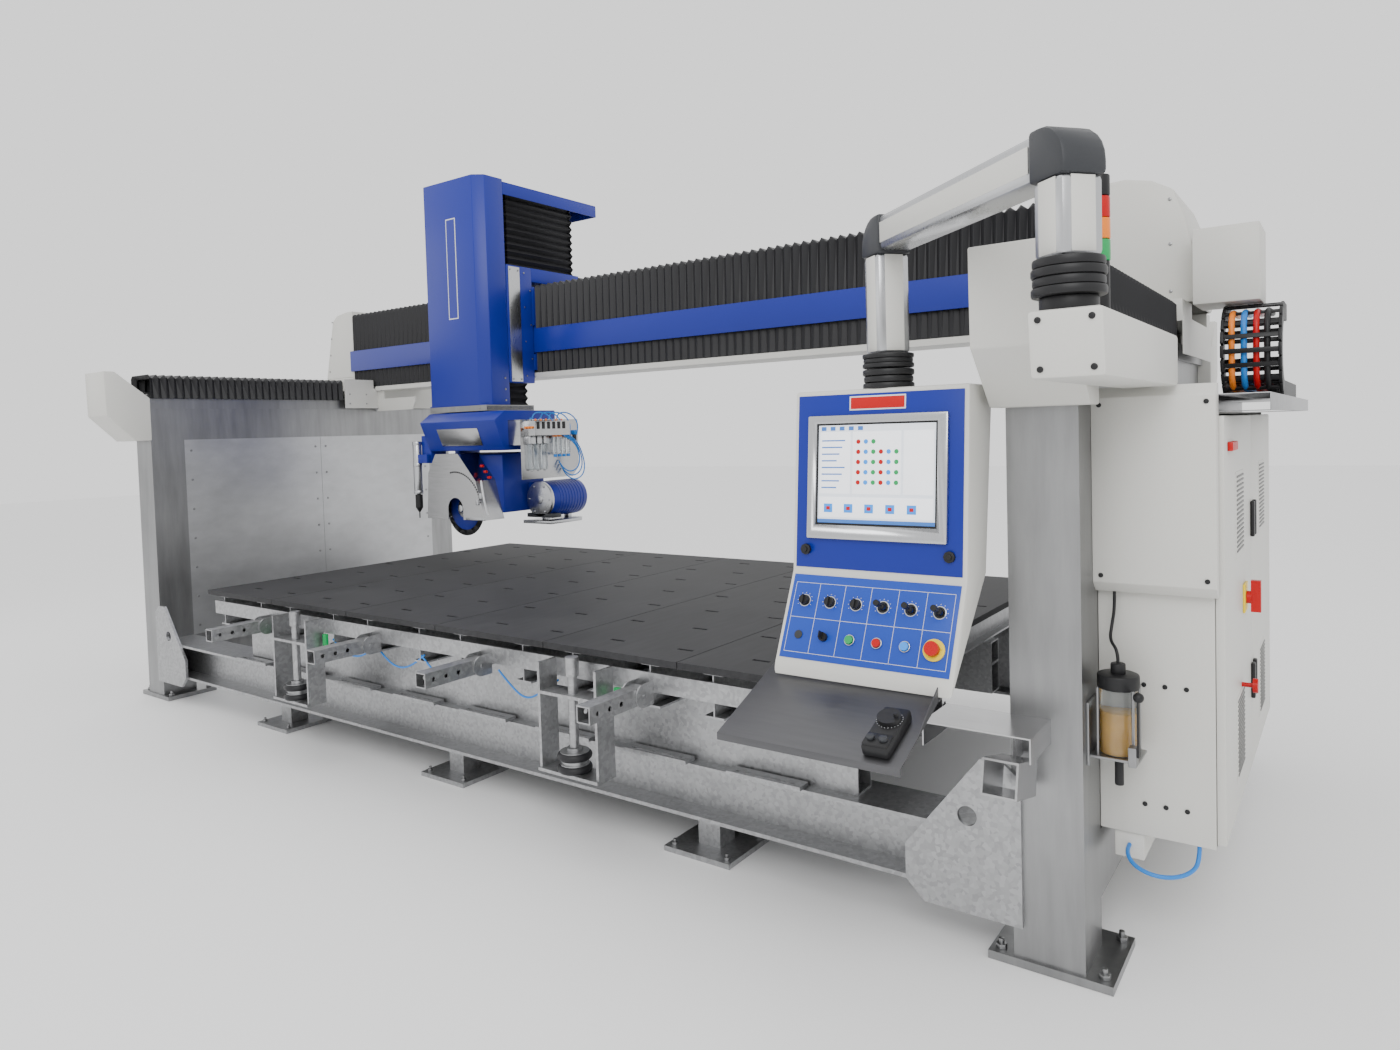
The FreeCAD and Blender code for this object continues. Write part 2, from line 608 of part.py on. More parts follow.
def ram_column():
    """Ram with its foot, two rails and the turntable seat."""
    column = square_tube(HEAD_X - 150, HEAD_X + 150, COVER_FRONT + 30, 440, RAM_BOTTOM + 35, 3100,
                         12.0, "z")
    foot = box(HEAD_X - RAM_W / 2, HEAD_X + RAM_W / 2, COVER_FRONT, 670, RAM_BOTTOM, RAM_BOTTOM + 35)
    rails = [box(HEAD_X + side * RAM_RAIL_X - RAM_RAIL / 2, HEAD_X + side * RAM_RAIL_X + RAM_RAIL / 2,
                 440, SADDLE_FRONT - 5, 1830, 3080) for side in (-1, 1)]
    return [fuse([column, foot])] + rails


def ram_cover():
    """Sheet cover of the ram, open behind, and the roof over the upper bellows."""
    x0, x1 = HEAD_X - RAM_W / 2, HEAD_X + RAM_W / 2
    z0, z1 = RAM_BOTTOM + 35, RAM_TOP + 15
    outer = box(x0, x1, COVER_FRONT, COVER_REAR, z0, z1)
    inner = box(x0 + SHEET, x1 - SHEET, COVER_FRONT + SHEET, COVER_REAR, z0, z1 - SHEET)
    roof = box(x0, x1, COVER_REAR, 1335, 3195, RAM_TOP)
    lips = [box(a, a + SHEET, COVER_REAR, 1335, 3126, 3195) for a in (x0, x1 - SHEET)]
    end = box(x0 + SHEET, x1 - SHEET, 1331, 1335, 3126, 3195)
    tie = box(HEAD_X - 100, HEAD_X + 100, COVER_FRONT + 40, 430, 3100, z1 - SHEET)
    return [outer.cut(inner), fuse([roof, end] + lips), tie]


def ram_bellows():
    """Z bellows above the saddle, up to the roof, and the short one below it."""
    upper = box(HEAD_X - 210, HEAD_X + 240, 514, 1118, SADDLE_TOP + GAP, 3195 - GAP)
    lower = box(HEAD_X - 230, HEAD_X + 230, 490, 660, RAM_BOTTOM + 35 + GAP, SADDLE_BOTTOM - GAP)
    return [upper, lower]


# ---- head --------------------------------------------------------------------------------------
def head_housing():
    """Swivelling housing, its fork arm with the tilt gearbox, and the probe cylinder."""
    outline = [(COVER_FRONT, HEAD_TOP), (184.0, 1703.0), (260.0, HEAD_BOTTOM), (700.0, HEAD_BOTTOM),
               (700.0, HEAD_TOP)]
    body = plate(outline, "x", HEAD_LEFT, HEAD_RIGHT - HEAD_LEFT)
    turntable = rod(150.0, (HEAD_X, SWIVEL_Y, HEAD_TOP), RAM_BOTTOM - HEAD_TOP - GAP, (0, 0, 1))
    arm = fuse([box(HEAD_LEFT - 50, HEAD_LEFT, 500, 680, TILT_Z, 1640),
                rod(90.0, (HEAD_LEFT - 50, TILT_Y, TILT_Z), 50, (1, 0, 0))])
    arm = arm.cut(rod(TRUNNION_R + RUNNING, (HEAD_LEFT - 50, TILT_Y, TILT_Z), 50, (1, 0, 0)))
    gearbox = rod(85.0, (HEAD_LEFT - 92, TILT_Y, TILT_Z), 42, (1, 0, 0))
    barrel = rod(PROBE_R, (PROBE_X, PROBE_Y, 1240), 345, (0, 0, 1))
    bracket = box(PROBE_X, HEAD_LEFT, 232, 268, 1440, 1500)
    hanger = box(HEAD_LEFT - 60, HEAD_LEFT, 268, 390, 1440, 1620)
    clamp = fuse([barrel, bracket, hanger])
    clamp = clamp.cut(rod(PROBE_ROD_R + RUNNING, (PROBE_X, PROBE_Y, 1240), 200, (0, 0, 1)))
    return [body, turntable, arm, gearbox, clamp]


def valve_pack():
    """Service plate with valve manifold, filter bowls, flow meters and regulators, and its bent cover."""
    side = HEAD_RIGHT + 105
    sheet = plate([(290.0, 1335.0), (730.0, 1335.0), (790.0, 1395.0), (790.0, 1700.0), (290.0, 1700.0)],
                  "x", side, SHEET)
    top = box(HEAD_RIGHT, side, 290, 690, 1700 - SHEET, 1700)
    face = box(HEAD_RIGHT, side, 290, 290 + SHEET, 1545, 1700 - SHEET)
    out = side + SHEET
    manifold = box(out, out + 95, 320, 620, 1600, 1690)
    bowls = [rod(21.0, (out + 21, 350 + 55 * n, 1390), 160, (0, 0, 1)) for n in range(3)]
    heads = [box(out, out + 44, 327 + 55 * n, 373 + 55 * n, 1550, 1600) for n in range(3)]
    meters = [rod(11.0, (out + 70, 520 + 40 * n, 1480), 120, (0, 0, 1)) for n in range(3)]
    knobs = [rod(20.0, (out + 20, 680 + 55 * n, 1560), 70, (0, 0, 1)) for n in range(2)]
    return [fuse([sheet, top, face]), manifold] + bowls + heads + meters + knobs


def probe_tip():
    """Measuring probe that drops out of its cylinder."""
    return [fuse([rod(PROBE_ROD_R, (PROBE_X, PROBE_Y, 1234), 160, (0, 0, 1)),
                  rod(24.0, (PROBE_X, PROBE_Y, 1150), 84, (0, 0, 1)),
                  Part.makeCone(6.0, 24.0, 30, Vec(PROBE_X, PROBE_Y, 1120)),
                  rod(4.0, (PROBE_X, PROBE_Y, 1080), 42, (0, 0, 1))])]


def saw_body():
    """Tilting casing behind the guard, with the trunnion, motor and drip plate."""
    outline = [(GUARD_REAR, 1120.0), (GUARD_REAR, 1490.0), (TILT_Y, 1500.0), (740.0, 1465.0),
               (740.0, 1120.0)]
    body = plate(outline, "x", TILT_LEFT, GUARD_RIGHT - TILT_LEFT)
    shaft = rod(TRUNNION_R, (HEAD_LEFT - 50 + GAP, TILT_Y, TILT_Z), 60, (1, 0, 0))
    link = box(GUARD_RIGHT - 20, MOTOR_X, 600, 740, 1120, 1300)
    motor = rod(MOTOR_R, (MOTOR_X, MOTOR_FRONT + 25, MOTOR_Z), MOTOR_REAR - MOTOR_FRONT - 25, (0, 1, 0))
    casing = fuse([body, shaft, link, motor])
    bore = rod(SPINDLE_R + RUNNING, (HEAD_X, GUARD_REAR, BLADE_Z), 80, (0, 1, 0))
    disc = rod(MOTOR_R - 3, (MOTOR_X, MOTOR_FRONT, MOTOR_Z), 25, (0, 1, 0))
    tray = plate([(GUARD_RIGHT, 540.0), (-637.5, 540.0), (-637.5, 820.0), (-690.0, 880.0),
                  (GUARD_RIGHT, 880.0)], "z", 1040.0, 20.0)
    posts = [box(MOTOR_X - 20, MOTOR_X + 20, y, y + 30, 1060, 1082) for y in (600.0, 800.0)]
    return [casing.cut(bore), disc, tray] + [post.cut(motor) for post in posts]


def blade_guard():
    """Stainless guard around the upper part of the blade, open below."""
    def outline(inset):
        return [(TILT_LEFT + inset, GUARD_BOTTOM), (TILT_LEFT + 22 + inset, 1380.0),
                (TILT_LEFT + 100 + inset / 2, 1500.0 - inset), (-1120.0 - inset / 2, 1500.0 - inset),
                (-960.0 - inset, 1330.0), (GUARD_RIGHT - inset, GUARD_BOTTOM)]
    shell = plate(outline(0), "y", GUARD_FRONT, GUARD_REAR - GUARD_FRONT)
    shell = shell.cut(plate(outline(5), "y", GUARD_FRONT + 5, GUARD_REAR - GUARD_FRONT - 10))
    window = fuse([rod(72.0, (HEAD_X, GUARD_FRONT, BLADE_Z), 6, (0, 1, 0)),
                   box(HEAD_X - 72, HEAD_X + 72, GUARD_FRONT, GUARD_FRONT + 6, GUARD_BOTTOM, BLADE_Z)])
    opening = rod(40.0, (HEAD_X, GUARD_REAR - 6, BLADE_Z), 6, (0, 1, 0))
    slot = box(HEAD_X - 40, HEAD_X + 40, GUARD_REAR - 6, GUARD_REAR, GUARD_BOTTOM, BLADE_Z)
    return [shell.cut([window, opening, slot])]


def saw_blade():
    """Diamond blade with its flanges, nut and spindle."""
    disc = rod(BLADE_R, (HEAD_X, BLADE_Y - BLADE_T / 2, BLADE_Z), BLADE_T, (0, 1, 0))
    flanges = rod(60.0, (HEAD_X, BLADE_Y - 14, BLADE_Z), 28, (0, 1, 0))
    nut = rod(26.0, (HEAD_X, BLADE_Y - 44, BLADE_Z), 32, (0, 1, 0))
    spindle = rod(SPINDLE_R, (HEAD_X, BLADE_Y, BLADE_Z), GUARD_REAR - BLADE_Y + 75, (0, 1, 0))
    return [fuse([disc, flanges, nut, spindle])]


# ---- cabinet -----------------------------------------------------------------------------------
def cabinet_body():
    """Cabinet of five panels with a mounting plate and drives inside, its trunk and the side box."""
    y0, y1 = CABINET_Y
    z0, z1 = CABINET_Z
    back = box(CABINET_BACK, CABINET_BACK + SHEET, y0, y1, z0, z1)
    floor = box(CABINET_BACK + SHEET, CABINET_FRONT, y0, y1, z0, z0 + SHEET)
    roof = box(CABINET_BACK + SHEET, CABINET_FRONT, y0, y1, z1 - SHEET, z1)
    sides = [box(CABINET_BACK + SHEET, CABINET_FRONT, y, y + SHEET, z0 + SHEET, z1 - SHEET)
             for y in (y0, y1 - SHEET)]
    drives = [box(CABINET_BACK + SHEET, CABINET_BACK + 150, y0 + 80 + 220 * n, y0 + 240 + 220 * n, 700, 1300)
              for n in range(6)]
    trunk = box(2900, 2980, y0 + 10, y1 - 90, z0 - 80, z0)
    front = y0 - 60
    side_box = plate([(front, 1130.0), (front, 1660.0), (front + 30, 1690.0), (y0, 1690.0), (y0, 1100.0),
                      (front + 30, 1100.0)], "x", CABINET_BACK, 317.0)
    return [back, floor, roof] + sides + drives + [trunk, side_box]


def cabinet_door(y0, y1):
    """A flat door leaf."""
    return box(CABINET_FRONT + GAP, CABINET_FRONT + GAP + DOOR_T, y0, y1, DOOR_Z[0], DOOR_Z[1])


def front_door():
    """Front door, with the seats of the main switch and the push button."""
    leaf = cabinet_door(CABINET_Y[0] + 2, DOOR_SPLIT - 1)
    face = CABINET_FRONT + GAP + DOOR_T
    seat = box(face, face + 6, -255, -165, 975, 1065)
    shaft_hole = rod(6 + RUNNING, (face - 10, -210, 1020), 20, (1, 0, 0))
    button_hole = rod(7 + RUNNING, (face - 20, -300, 760), 20, (1, 0, 0))
    return [fuse([leaf, seat]).cut([shaft_hole, button_hole])]


def rear_door():
    """Rear door."""
    return [cabinet_door(DOOR_SPLIT + 1, CABINET_Y[1] - 2)]


def main_switch():
    """Turning handle of the main switch, with its shaft in the door."""
    face = CABINET_FRONT + GAP + DOOR_T + 6
    grip = box(face + GAP + 12, face + 40, -222, -198, 975, 1075)
    hub = rod(20.0, (face + GAP, -210, 1020), 14, (1, 0, 0))
    shaft = rod(6.0, (face - 14, -210, 1020), 20, (1, 0, 0))
    return [fuse([grip, hub, shaft])]


def door_button():
    """Red mushroom button on a chrome stem."""
    face = CABINET_FRONT + GAP + DOOR_T
    return [fuse([rod(7.0, (face - 12, -300, 760), 42, (1, 0, 0)),
                  rod(22.0, (face + 30, -300, 760), 14, (1, 0, 0))])]


def grease_pump():
    """Hand grease pump on the right column: bracket, reservoir, lid and cable socket."""
    x, y = CABINET_BACK + 74, -810.0
    bracket = fuse([box(CABINET_BACK, CABINET_BACK + 8, y - 60, y + 60, 620, 800),
                    box(CABINET_BACK + 8, x + 62, y - 60, y + 60, 645, 653)])
    glass = rod(50.0, (x, y, 653), 187, (0, 0, 1))
    lid = rod(56.0, (x, y, 840), 40, (0, 0, 1))
    knob = rod(20.0, (x, y, 880), 30, (0, 0, 1))
    nozzle = rod(12.0, (x, y, 560), 85, (0, 0, 1))
    ear = box(x + 40, x + 62, y - 90, y - 60, 645, 700)
    pivot_hole = rod(6 + RUNNING, (x + 40, y - 76, 684), 22, (1, 0, 0))
    return [bracket, glass, lid, knob, nozzle, ear.cut(pivot_hole)]


def pump_lever():
    """Flat lever of the grease pump, with its pin and ball."""
    x, y = CABINET_BACK + 74, -886.0
    arm = box(x + 62 + GAP, x + 68, y - 10, y + 10, 674, 830)
    pin = rod(6.0, (x + 41, y, 684), 26, (1, 0, 0))
    ball = Part.makeSphere(14.0, Vec(x + 66, y, 838))
    return [fuse([arm, pin, ball])]


def cable_tray():
    """Galvanised tray under the cable chain, on the cabinet roof and two brackets."""
    z1 = CABINET_Z[1] + 50
    middle = (TRAY_X[0] + TRAY_X[1]) / 2
    tray = inverted_u(TRAY_X[1] - TRAY_X[0], 50.0, 3.0, middle, CABINET_Y[0], FRAME_FRONT + FRAME_DEPTH,
                      z1 - 50)
    arms = [box(CABINET_BACK, TRAY_X[0] + 80, y, y + 60, z1 - 60, z1 - 50) for y in (850.0, 1250.0)]
    return [tray] + arms


def cable_chain():
    """Energy chain: lower run on the tray, half turn at the front, upper run to the gantry."""
    z0 = CABINET_Z[1] + 50 + GAP
    y = 390 + CHAIN_R
    width = CHAIN_X[1] - CHAIN_X[0]
    centre = (CHAIN_X[0], y, z0 + CHAIN_R)
    ring = rod(CHAIN_R, centre, width, (1, 0, 0)).cut(rod(CHAIN_R - CHAIN_H, centre, width, (1, 0, 0)))
    ring = ring.cut(box(CHAIN_X[0], CHAIN_X[1], y, y + CHAIN_R, z0, z0 + 2 * CHAIN_R))
    lower = box(CHAIN_X[0], CHAIN_X[1], y, 1300, z0, z0 + CHAIN_H)
    upper = box(CHAIN_X[0], CHAIN_X[1], y, 690, z0 + 2 * CHAIN_R - CHAIN_H, z0 + 2 * CHAIN_R)
    return [fuse([ring, lower, upper])]


# ---- console arm -------------------------------------------------------------------------------
def arm_base():
    """Base box beside the right column, its bracket, collar and signal tower."""
    x0 = RAIL_X + CAP_W / 2 + 20
    body = plate([(-1630.0, 1685.0), (-1650.0, 1825.0), (-750.0, 1825.0), (-750.0, 1685.0)], "x", x0, 150.0)
    bracket = box(CABINET_BACK, x0, FRAME_FRONT + 20, FRAME_FRONT + 150, 1700, 1815)
    collar = rod(60.0, (POST_X, POST_Y, 1825), 32, (0, 0, 1))
    tower = [rod(8.0, (POST_X, -1260.0, 1825), 145, (0, 0, 1))]
    tower += [rod(24.0, (POST_X, -1260.0, 1970 + 50 * n), 50, (0, 0, 1)) for n in range(4)]
    return [body, bracket, collar] + tower


def boom():
    """Suspension arm: coupling, post, elbow, boom, elbow, drop post and lower coupling."""
    reach = math.hypot(DROP_X - POST_X, DROP_Y - POST_Y)
    half = ARM_W / 2
    top = 2215.0

    def elbow(x, side):
        block = box(x - 60, x + 60, -half - 4, half + 4, top - 114, top)
        edge = [e for e in block.Edges
                if abs(e.CenterOfMass.x - (x + side * 60)) < 1 and abs(e.CenterOfMass.z - top) < 1]
        return block.makeFillet(85.0, edge)
    post = box(-half, half, -half, half, 1939, top - 114)
    drop = box(reach - half, reach + half, -half, half, 1813, top - 114)
    bar = box(60, reach - 60, -half, half, top - 107, top - 7)
    lower = rod(COUPLING_R, (0, 0, 1857.5), 81.5, (0, 0, 1))
    hanger = rod(COUPLING_R, (reach, 0, 1770), 43, (0, 0, 1))
    pieces = [lower, post, elbow(0, -1), bar, elbow(reach, 1), drop, hanger]
    angle = math.degrees(math.atan2(DROP_Y - POST_Y, DROP_X - POST_X))
    for piece in pieces:
        piece.rotate(Vec(0, 0, 0), Vec(0, 0, 1), angle)
        piece.translate(Vec(POST_X, POST_Y, 0))
    return pieces


# ---- console -----------------------------------------------------------------------------------
KINK = (-1135.0, 1165.0)
HEAD_EDGE = (-1087.0, 1710.0)
LOW_EDGE = (-1256.0, 910.0)
TRAY_BACK = (-1215.0, 891.8)
TRAY_FRONT = (-1530.0, 766.0)
CONSOLE_X = DROP_X - CONSOLE_W / 2


def on_slope(low, high, solid):
    """Move a solid made in (across, up the slope, outward) onto the slope from low to high."""
    length = math.hypot(high[0] - low[0], high[1] - low[1])
    vy = (high[0] - low[0]) / length
    vz = (high[1] - low[1]) / length
    matrix = FreeCAD.Matrix(1, 0, 0, CONSOLE_X, 0, vy, -vz, low[0], 0, vz, vy, low[1], 0, 0, 0, 1)
    copy = solid.copy()
    copy.Placement = FreeCAD.Placement(matrix).multiply(copy.Placement)
    return copy


def key_place(column, row):
    """Middle of one of the twelve places on the lower panel."""
    return BUTTON_FIRST + column * BUTTON_PITCH, BUTTON_ROWS[row]


def low_panel(solid):
    """Place a solid on the lower panel."""
    return on_slope(LOW_EDGE, KINK, solid)


def console_case():
    """Folded case, its two blue plates, button collars, upper collar and caps."""
    outline = [HEAD_EDGE, KINK, LOW_EDGE, (-1268.0, 871.0), (-977.0, 1166.0), (-897.0, 1710.0)]
    case = plate(outline, "x", CONSOLE_X, CONSOLE_W)
    upper = on_slope(KINK, HEAD_EDGE, box(14, CONSOLE_W - 14, 14, 533, 0, PLATE_T))
    lower = low_panel(box(14, CONSOLE_W - 14, 14, 268, 0, PLATE_T))
    collar = rod(COUPLING_R, (DROP_X, DROP_Y, 1710), 59.5, (0, 0, 1))
    rings = []
    for column in (2, 3, 4):
        a, b = key_place(column, 0)
        ring = rod(15.0, (a, b, PLATE_T), 6, (0, 0, 1)).cut(rod(12.5, (a, b, PLATE_T), 6, (0, 0, 1)))
        rings.append(low_panel(ring))
    a, b = key_place(5, 0)
    disc = rod(30.0, (a, b, PLATE_T), 7, (0, 0, 1)).cut(rod(9.5, (a, b, PLATE_T), 7, (0, 0, 1)))
    a, b = key_place(0, 0)
    blank = rod(14.0, (a, b, PLATE_T), 3, (0, 0, 1))
    caps = [on_slope(KINK, HEAD_EDGE, rod(15.0, (u, 66, PLATE_T), 16, (0, 0, 1)))
            for u in (50, CONSOLE_W - 50)]
    return [case, upper, lower, collar, low_panel(disc), low_panel(blank)] + rings + caps


def console_screen():
    """Monitor with a raised bezel."""
    frame = box(55, 495, 110, 470, PLATE_T, PLATE_T + 14).cut(box(80, 470, 135, 445, PLATE_T + 8, PLATE_T + 14))
    return [on_slope(KINK, HEAD_EDGE, frame)]


def console_tray():
    """Sloping steel tray with a lip and a side flange, and the body of the hand pendant on it."""
    back, front = TRAY_BACK, TRAY_FRONT
    x0, x1 = CONSOLE_X - 25, CONSOLE_X + 515
    sheet = plate([back, front, (front[0], front[1] - 20), (front[0] + TRAY_SHEET, front[1] - 20),
                   (front[0] + TRAY_SHEET, front[1] - TRAY_SHEET), (back[0], back[1] - TRAY_SHEET)],
                  "x", x0, x1 - x0)
    flange = plate([(-1275.0, 868.0), (-1275.0, 905.0), (-1420.0, 810.0)], "x", x1 - TRAY_SHEET, TRAY_SHEET)
    body = on_slope(TRAY_FRONT, TRAY_BACK, box(405, 480, 20, 185, 0.2, 36))
    return [fuse([sheet, flange]), body]


def handwheel():
    """Dial of the hand pendant."""
    dial = fuse([rod(31.0, (442, 130, 36.6), 12, (0, 0, 1)), rod(6.0, (462, 130, 48), 12, (0, 0, 1))])
    return [on_slope(TRAY_FRONT, TRAY_BACK, dial)]


def push_button(column):
    """Round push button in its collar."""
    a, b = key_place(column, 0)
    return [low_panel(rod(BUTTON_R, (a, b, PLATE_T + 4), 8, (0, 0, 1)))]


def estop_button():
    """Mushroom emergency stop."""
    a, b = key_place(5, 0)
    return [low_panel(fuse([rod(9.0, (a, b, PLATE_T + 4.5), 12, (0, 0, 1)),
                            rod(20.0, (a, b, PLATE_T + 14), 14, (0, 0, 1))]))]


def key_switch():
    """Key in its turning barrel."""
    a, b = key_place(1, 0)
    return [low_panel(fuse([rod(13.0, (a, b, PLATE_T + GAP), 12, (0, 0, 1)),
                            box(a - 1.5, a + 1.5, b - 8, b + 12, PLATE_T + 12, PLATE_T + 36)]))]


def selector_knob(column):
    """Turning knob with a pointer ridge."""
    a, b = key_place(column, 1)
    return [low_panel(fuse([rod(14.0, (a, b, PLATE_T + GAP), 14, (0, 0, 1)),
                            box(a - 3, a + 3, b - 13, b + 13, PLATE_T + 14, PLATE_T + 22)]))]


def joystick(column):
    """Short lever on a ball."""
    a, b = key_place(column, 1)
    ball = Part.makeSphere(10.0, Vec(a, b, PLATE_T + 11))
    return [low_panel(fuse([ball, rod(5.0, (a, b, PLATE_T + 11), 34, (0, 0, 1)),
                            rod(9.0, (a, b, PLATE_T + 38), 14, (0, 0, 1))]))]


# ---- cords -------------------------------------------------------------------------------------
PUMP_CABLE = [(2915, -740, 1099.7), (2915, -740, 1050), (2908, -748, 1000), (2908, -774, 964),
              (2936.5, -810, 944), (2936.5, -810, 910.2)]
CABINET_HOSE = [(2940, -700.2, 345), (2940, -752, 345), (2968, -796, 328), (3020, -812, 318),
                (3072, -792, 316), (3108, -744, 320), (3122, -690, 334), (3122, -690, 384.7)]
ARM_HOSE = [(2990, -749.7, 1752), (2990, -690, 1752), (2988, -622, 1734), (2985, -580, 1684),
            (2985, -580, 1610.3)]


# ---- the machine -------------------------------------------------------------------------------
def main():
    """Write every node."""
    os.makedirs("parts", exist_ok=True)
    nodes = {
        "columns": columns(), "side_beams": side_beams(), "wall_panels": wall_panels(),
        "rail_beds": rail_beds(), "end_caps": end_caps(), "rail_bellows": rail_bellows(),
        "cross_beams": cross_beams() + slide_pads(), "levelling_feet": levelling_feet(),
        "table_joists": table_bearers() + table_joists(), "table_boards": table_boards(),
        "table_fittings": stop_brackets() + lift_frames(), "tool_shelf": tool_shelf(),
        "cabinet_body": cabinet_body() + cable_tray(), "grease_pump": grease_pump(),
        "cable_chain": cable_chain(), "arm_base": arm_base(),
        "gantry_trucks": gantry_trucks(), "bridge_beam": bridge_beam(), "bridge_covers": bridge_covers(),
        "bridge_bellows": bridge_bellows(),
        "saddle": saddle(), "ram_column": ram_column(), "ram_cover": ram_cover(),
        "ram_bellows": ram_bellows(),
        "head_housing": head_housing(), "valve_pack": valve_pack(), "probe_tip": probe_tip(),
        "saw_body": saw_body(), "blade_guard": blade_guard(), "saw_blade": saw_blade(),
        "front_door": front_door(), "rear_door": rear_door(), "main_switch": main_switch(),
        "door_button": door_button(), "pump_lever": pump_lever(),
        "boom": boom(), "console_case": console_case(), "console_screen": console_screen(),
        "console_tray": console_tray(), "handwheel": handwheel(),
        "start_button": push_button(2), "stop_button": push_button(3), "reset_button": push_button(4),
        "estop_button": estop_button(), "key_switch": key_switch(),
    }
    for number, x in enumerate(STOPS_X, 1):
        nodes["stop_arm_%d" % number] = stop_arm(x)
    for number, x in enumerate(LIFTS_X, 1):
        nodes["lift_post_%d" % number] = lift_post(x)
    for column, name in enumerate(("mode_selector", "feed_knob", "speed_knob")):
        nodes[name] = selector_knob(column)
    for column, name in enumerate(("joystick_x", "joystick_y", "joystick_z"), 3):
        nodes[name] = joystick(column)
    nodes["pump_cable"] = [cord(PUMP_CABLE, 4.5, "pump_cable")]
    nodes["cabinet_hose"] = [cord(CABINET_HOSE, 6.0, "cabinet_hose")]
    nodes["arm_hose"] = [cord(ARM_HOSE, 22.0, "arm_hose")]
    for node, solids in nodes.items():
        save(node, solids)
    print(len(nodes), "nodes")


main()
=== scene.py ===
"""Looks of the five-axis bridge saw: finishes, detailed covers, bellows, console, hoses, light and camera.

Sizes are in millimetres in the machine's own frame and become metres in the Bench methods.
"""

import json
import logging
import math
from dataclasses import dataclass, field
from enum import Enum
from typing import Sequence

import bpy
from mathutils import Matrix, Vector

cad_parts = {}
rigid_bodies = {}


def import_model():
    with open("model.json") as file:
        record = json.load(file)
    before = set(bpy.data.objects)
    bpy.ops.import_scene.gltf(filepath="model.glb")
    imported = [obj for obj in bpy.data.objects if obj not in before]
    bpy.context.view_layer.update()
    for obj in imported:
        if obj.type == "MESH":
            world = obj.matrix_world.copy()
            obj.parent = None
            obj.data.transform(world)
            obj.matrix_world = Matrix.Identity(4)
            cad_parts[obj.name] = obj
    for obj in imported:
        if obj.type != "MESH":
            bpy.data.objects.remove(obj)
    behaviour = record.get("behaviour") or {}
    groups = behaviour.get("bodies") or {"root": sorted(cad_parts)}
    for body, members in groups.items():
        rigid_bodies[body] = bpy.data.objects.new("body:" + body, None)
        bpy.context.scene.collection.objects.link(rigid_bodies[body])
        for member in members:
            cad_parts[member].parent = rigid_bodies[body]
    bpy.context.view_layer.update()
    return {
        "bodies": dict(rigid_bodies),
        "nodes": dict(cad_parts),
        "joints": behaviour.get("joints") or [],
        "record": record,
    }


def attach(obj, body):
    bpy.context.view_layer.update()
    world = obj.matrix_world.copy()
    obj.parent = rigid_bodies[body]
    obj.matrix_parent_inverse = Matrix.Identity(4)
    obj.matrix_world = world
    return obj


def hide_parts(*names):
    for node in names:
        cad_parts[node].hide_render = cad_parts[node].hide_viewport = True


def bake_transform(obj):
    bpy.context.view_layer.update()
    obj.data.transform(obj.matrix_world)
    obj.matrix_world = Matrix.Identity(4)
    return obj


LOG = logging.getLogger("bridge_saw")
MM = 0.001
CLOTH = 1.2
FOLD_ANGLE = 32.0
GRAIN_SHARE = 0.45
CLOUD_SCALE = 2.3
Point = tuple[float, float, float]
Pair = tuple[float, float]


class Surface(Enum):
    """How a finish catches the light."""

    PAINT = "paint"
    BRUSHED = "brushed"
    SPANGLE = "spangle"
    RUBBER = "rubber"
    PLASTIC = "plastic"
    CLEAR = "clear"
    GLOW = "glow"


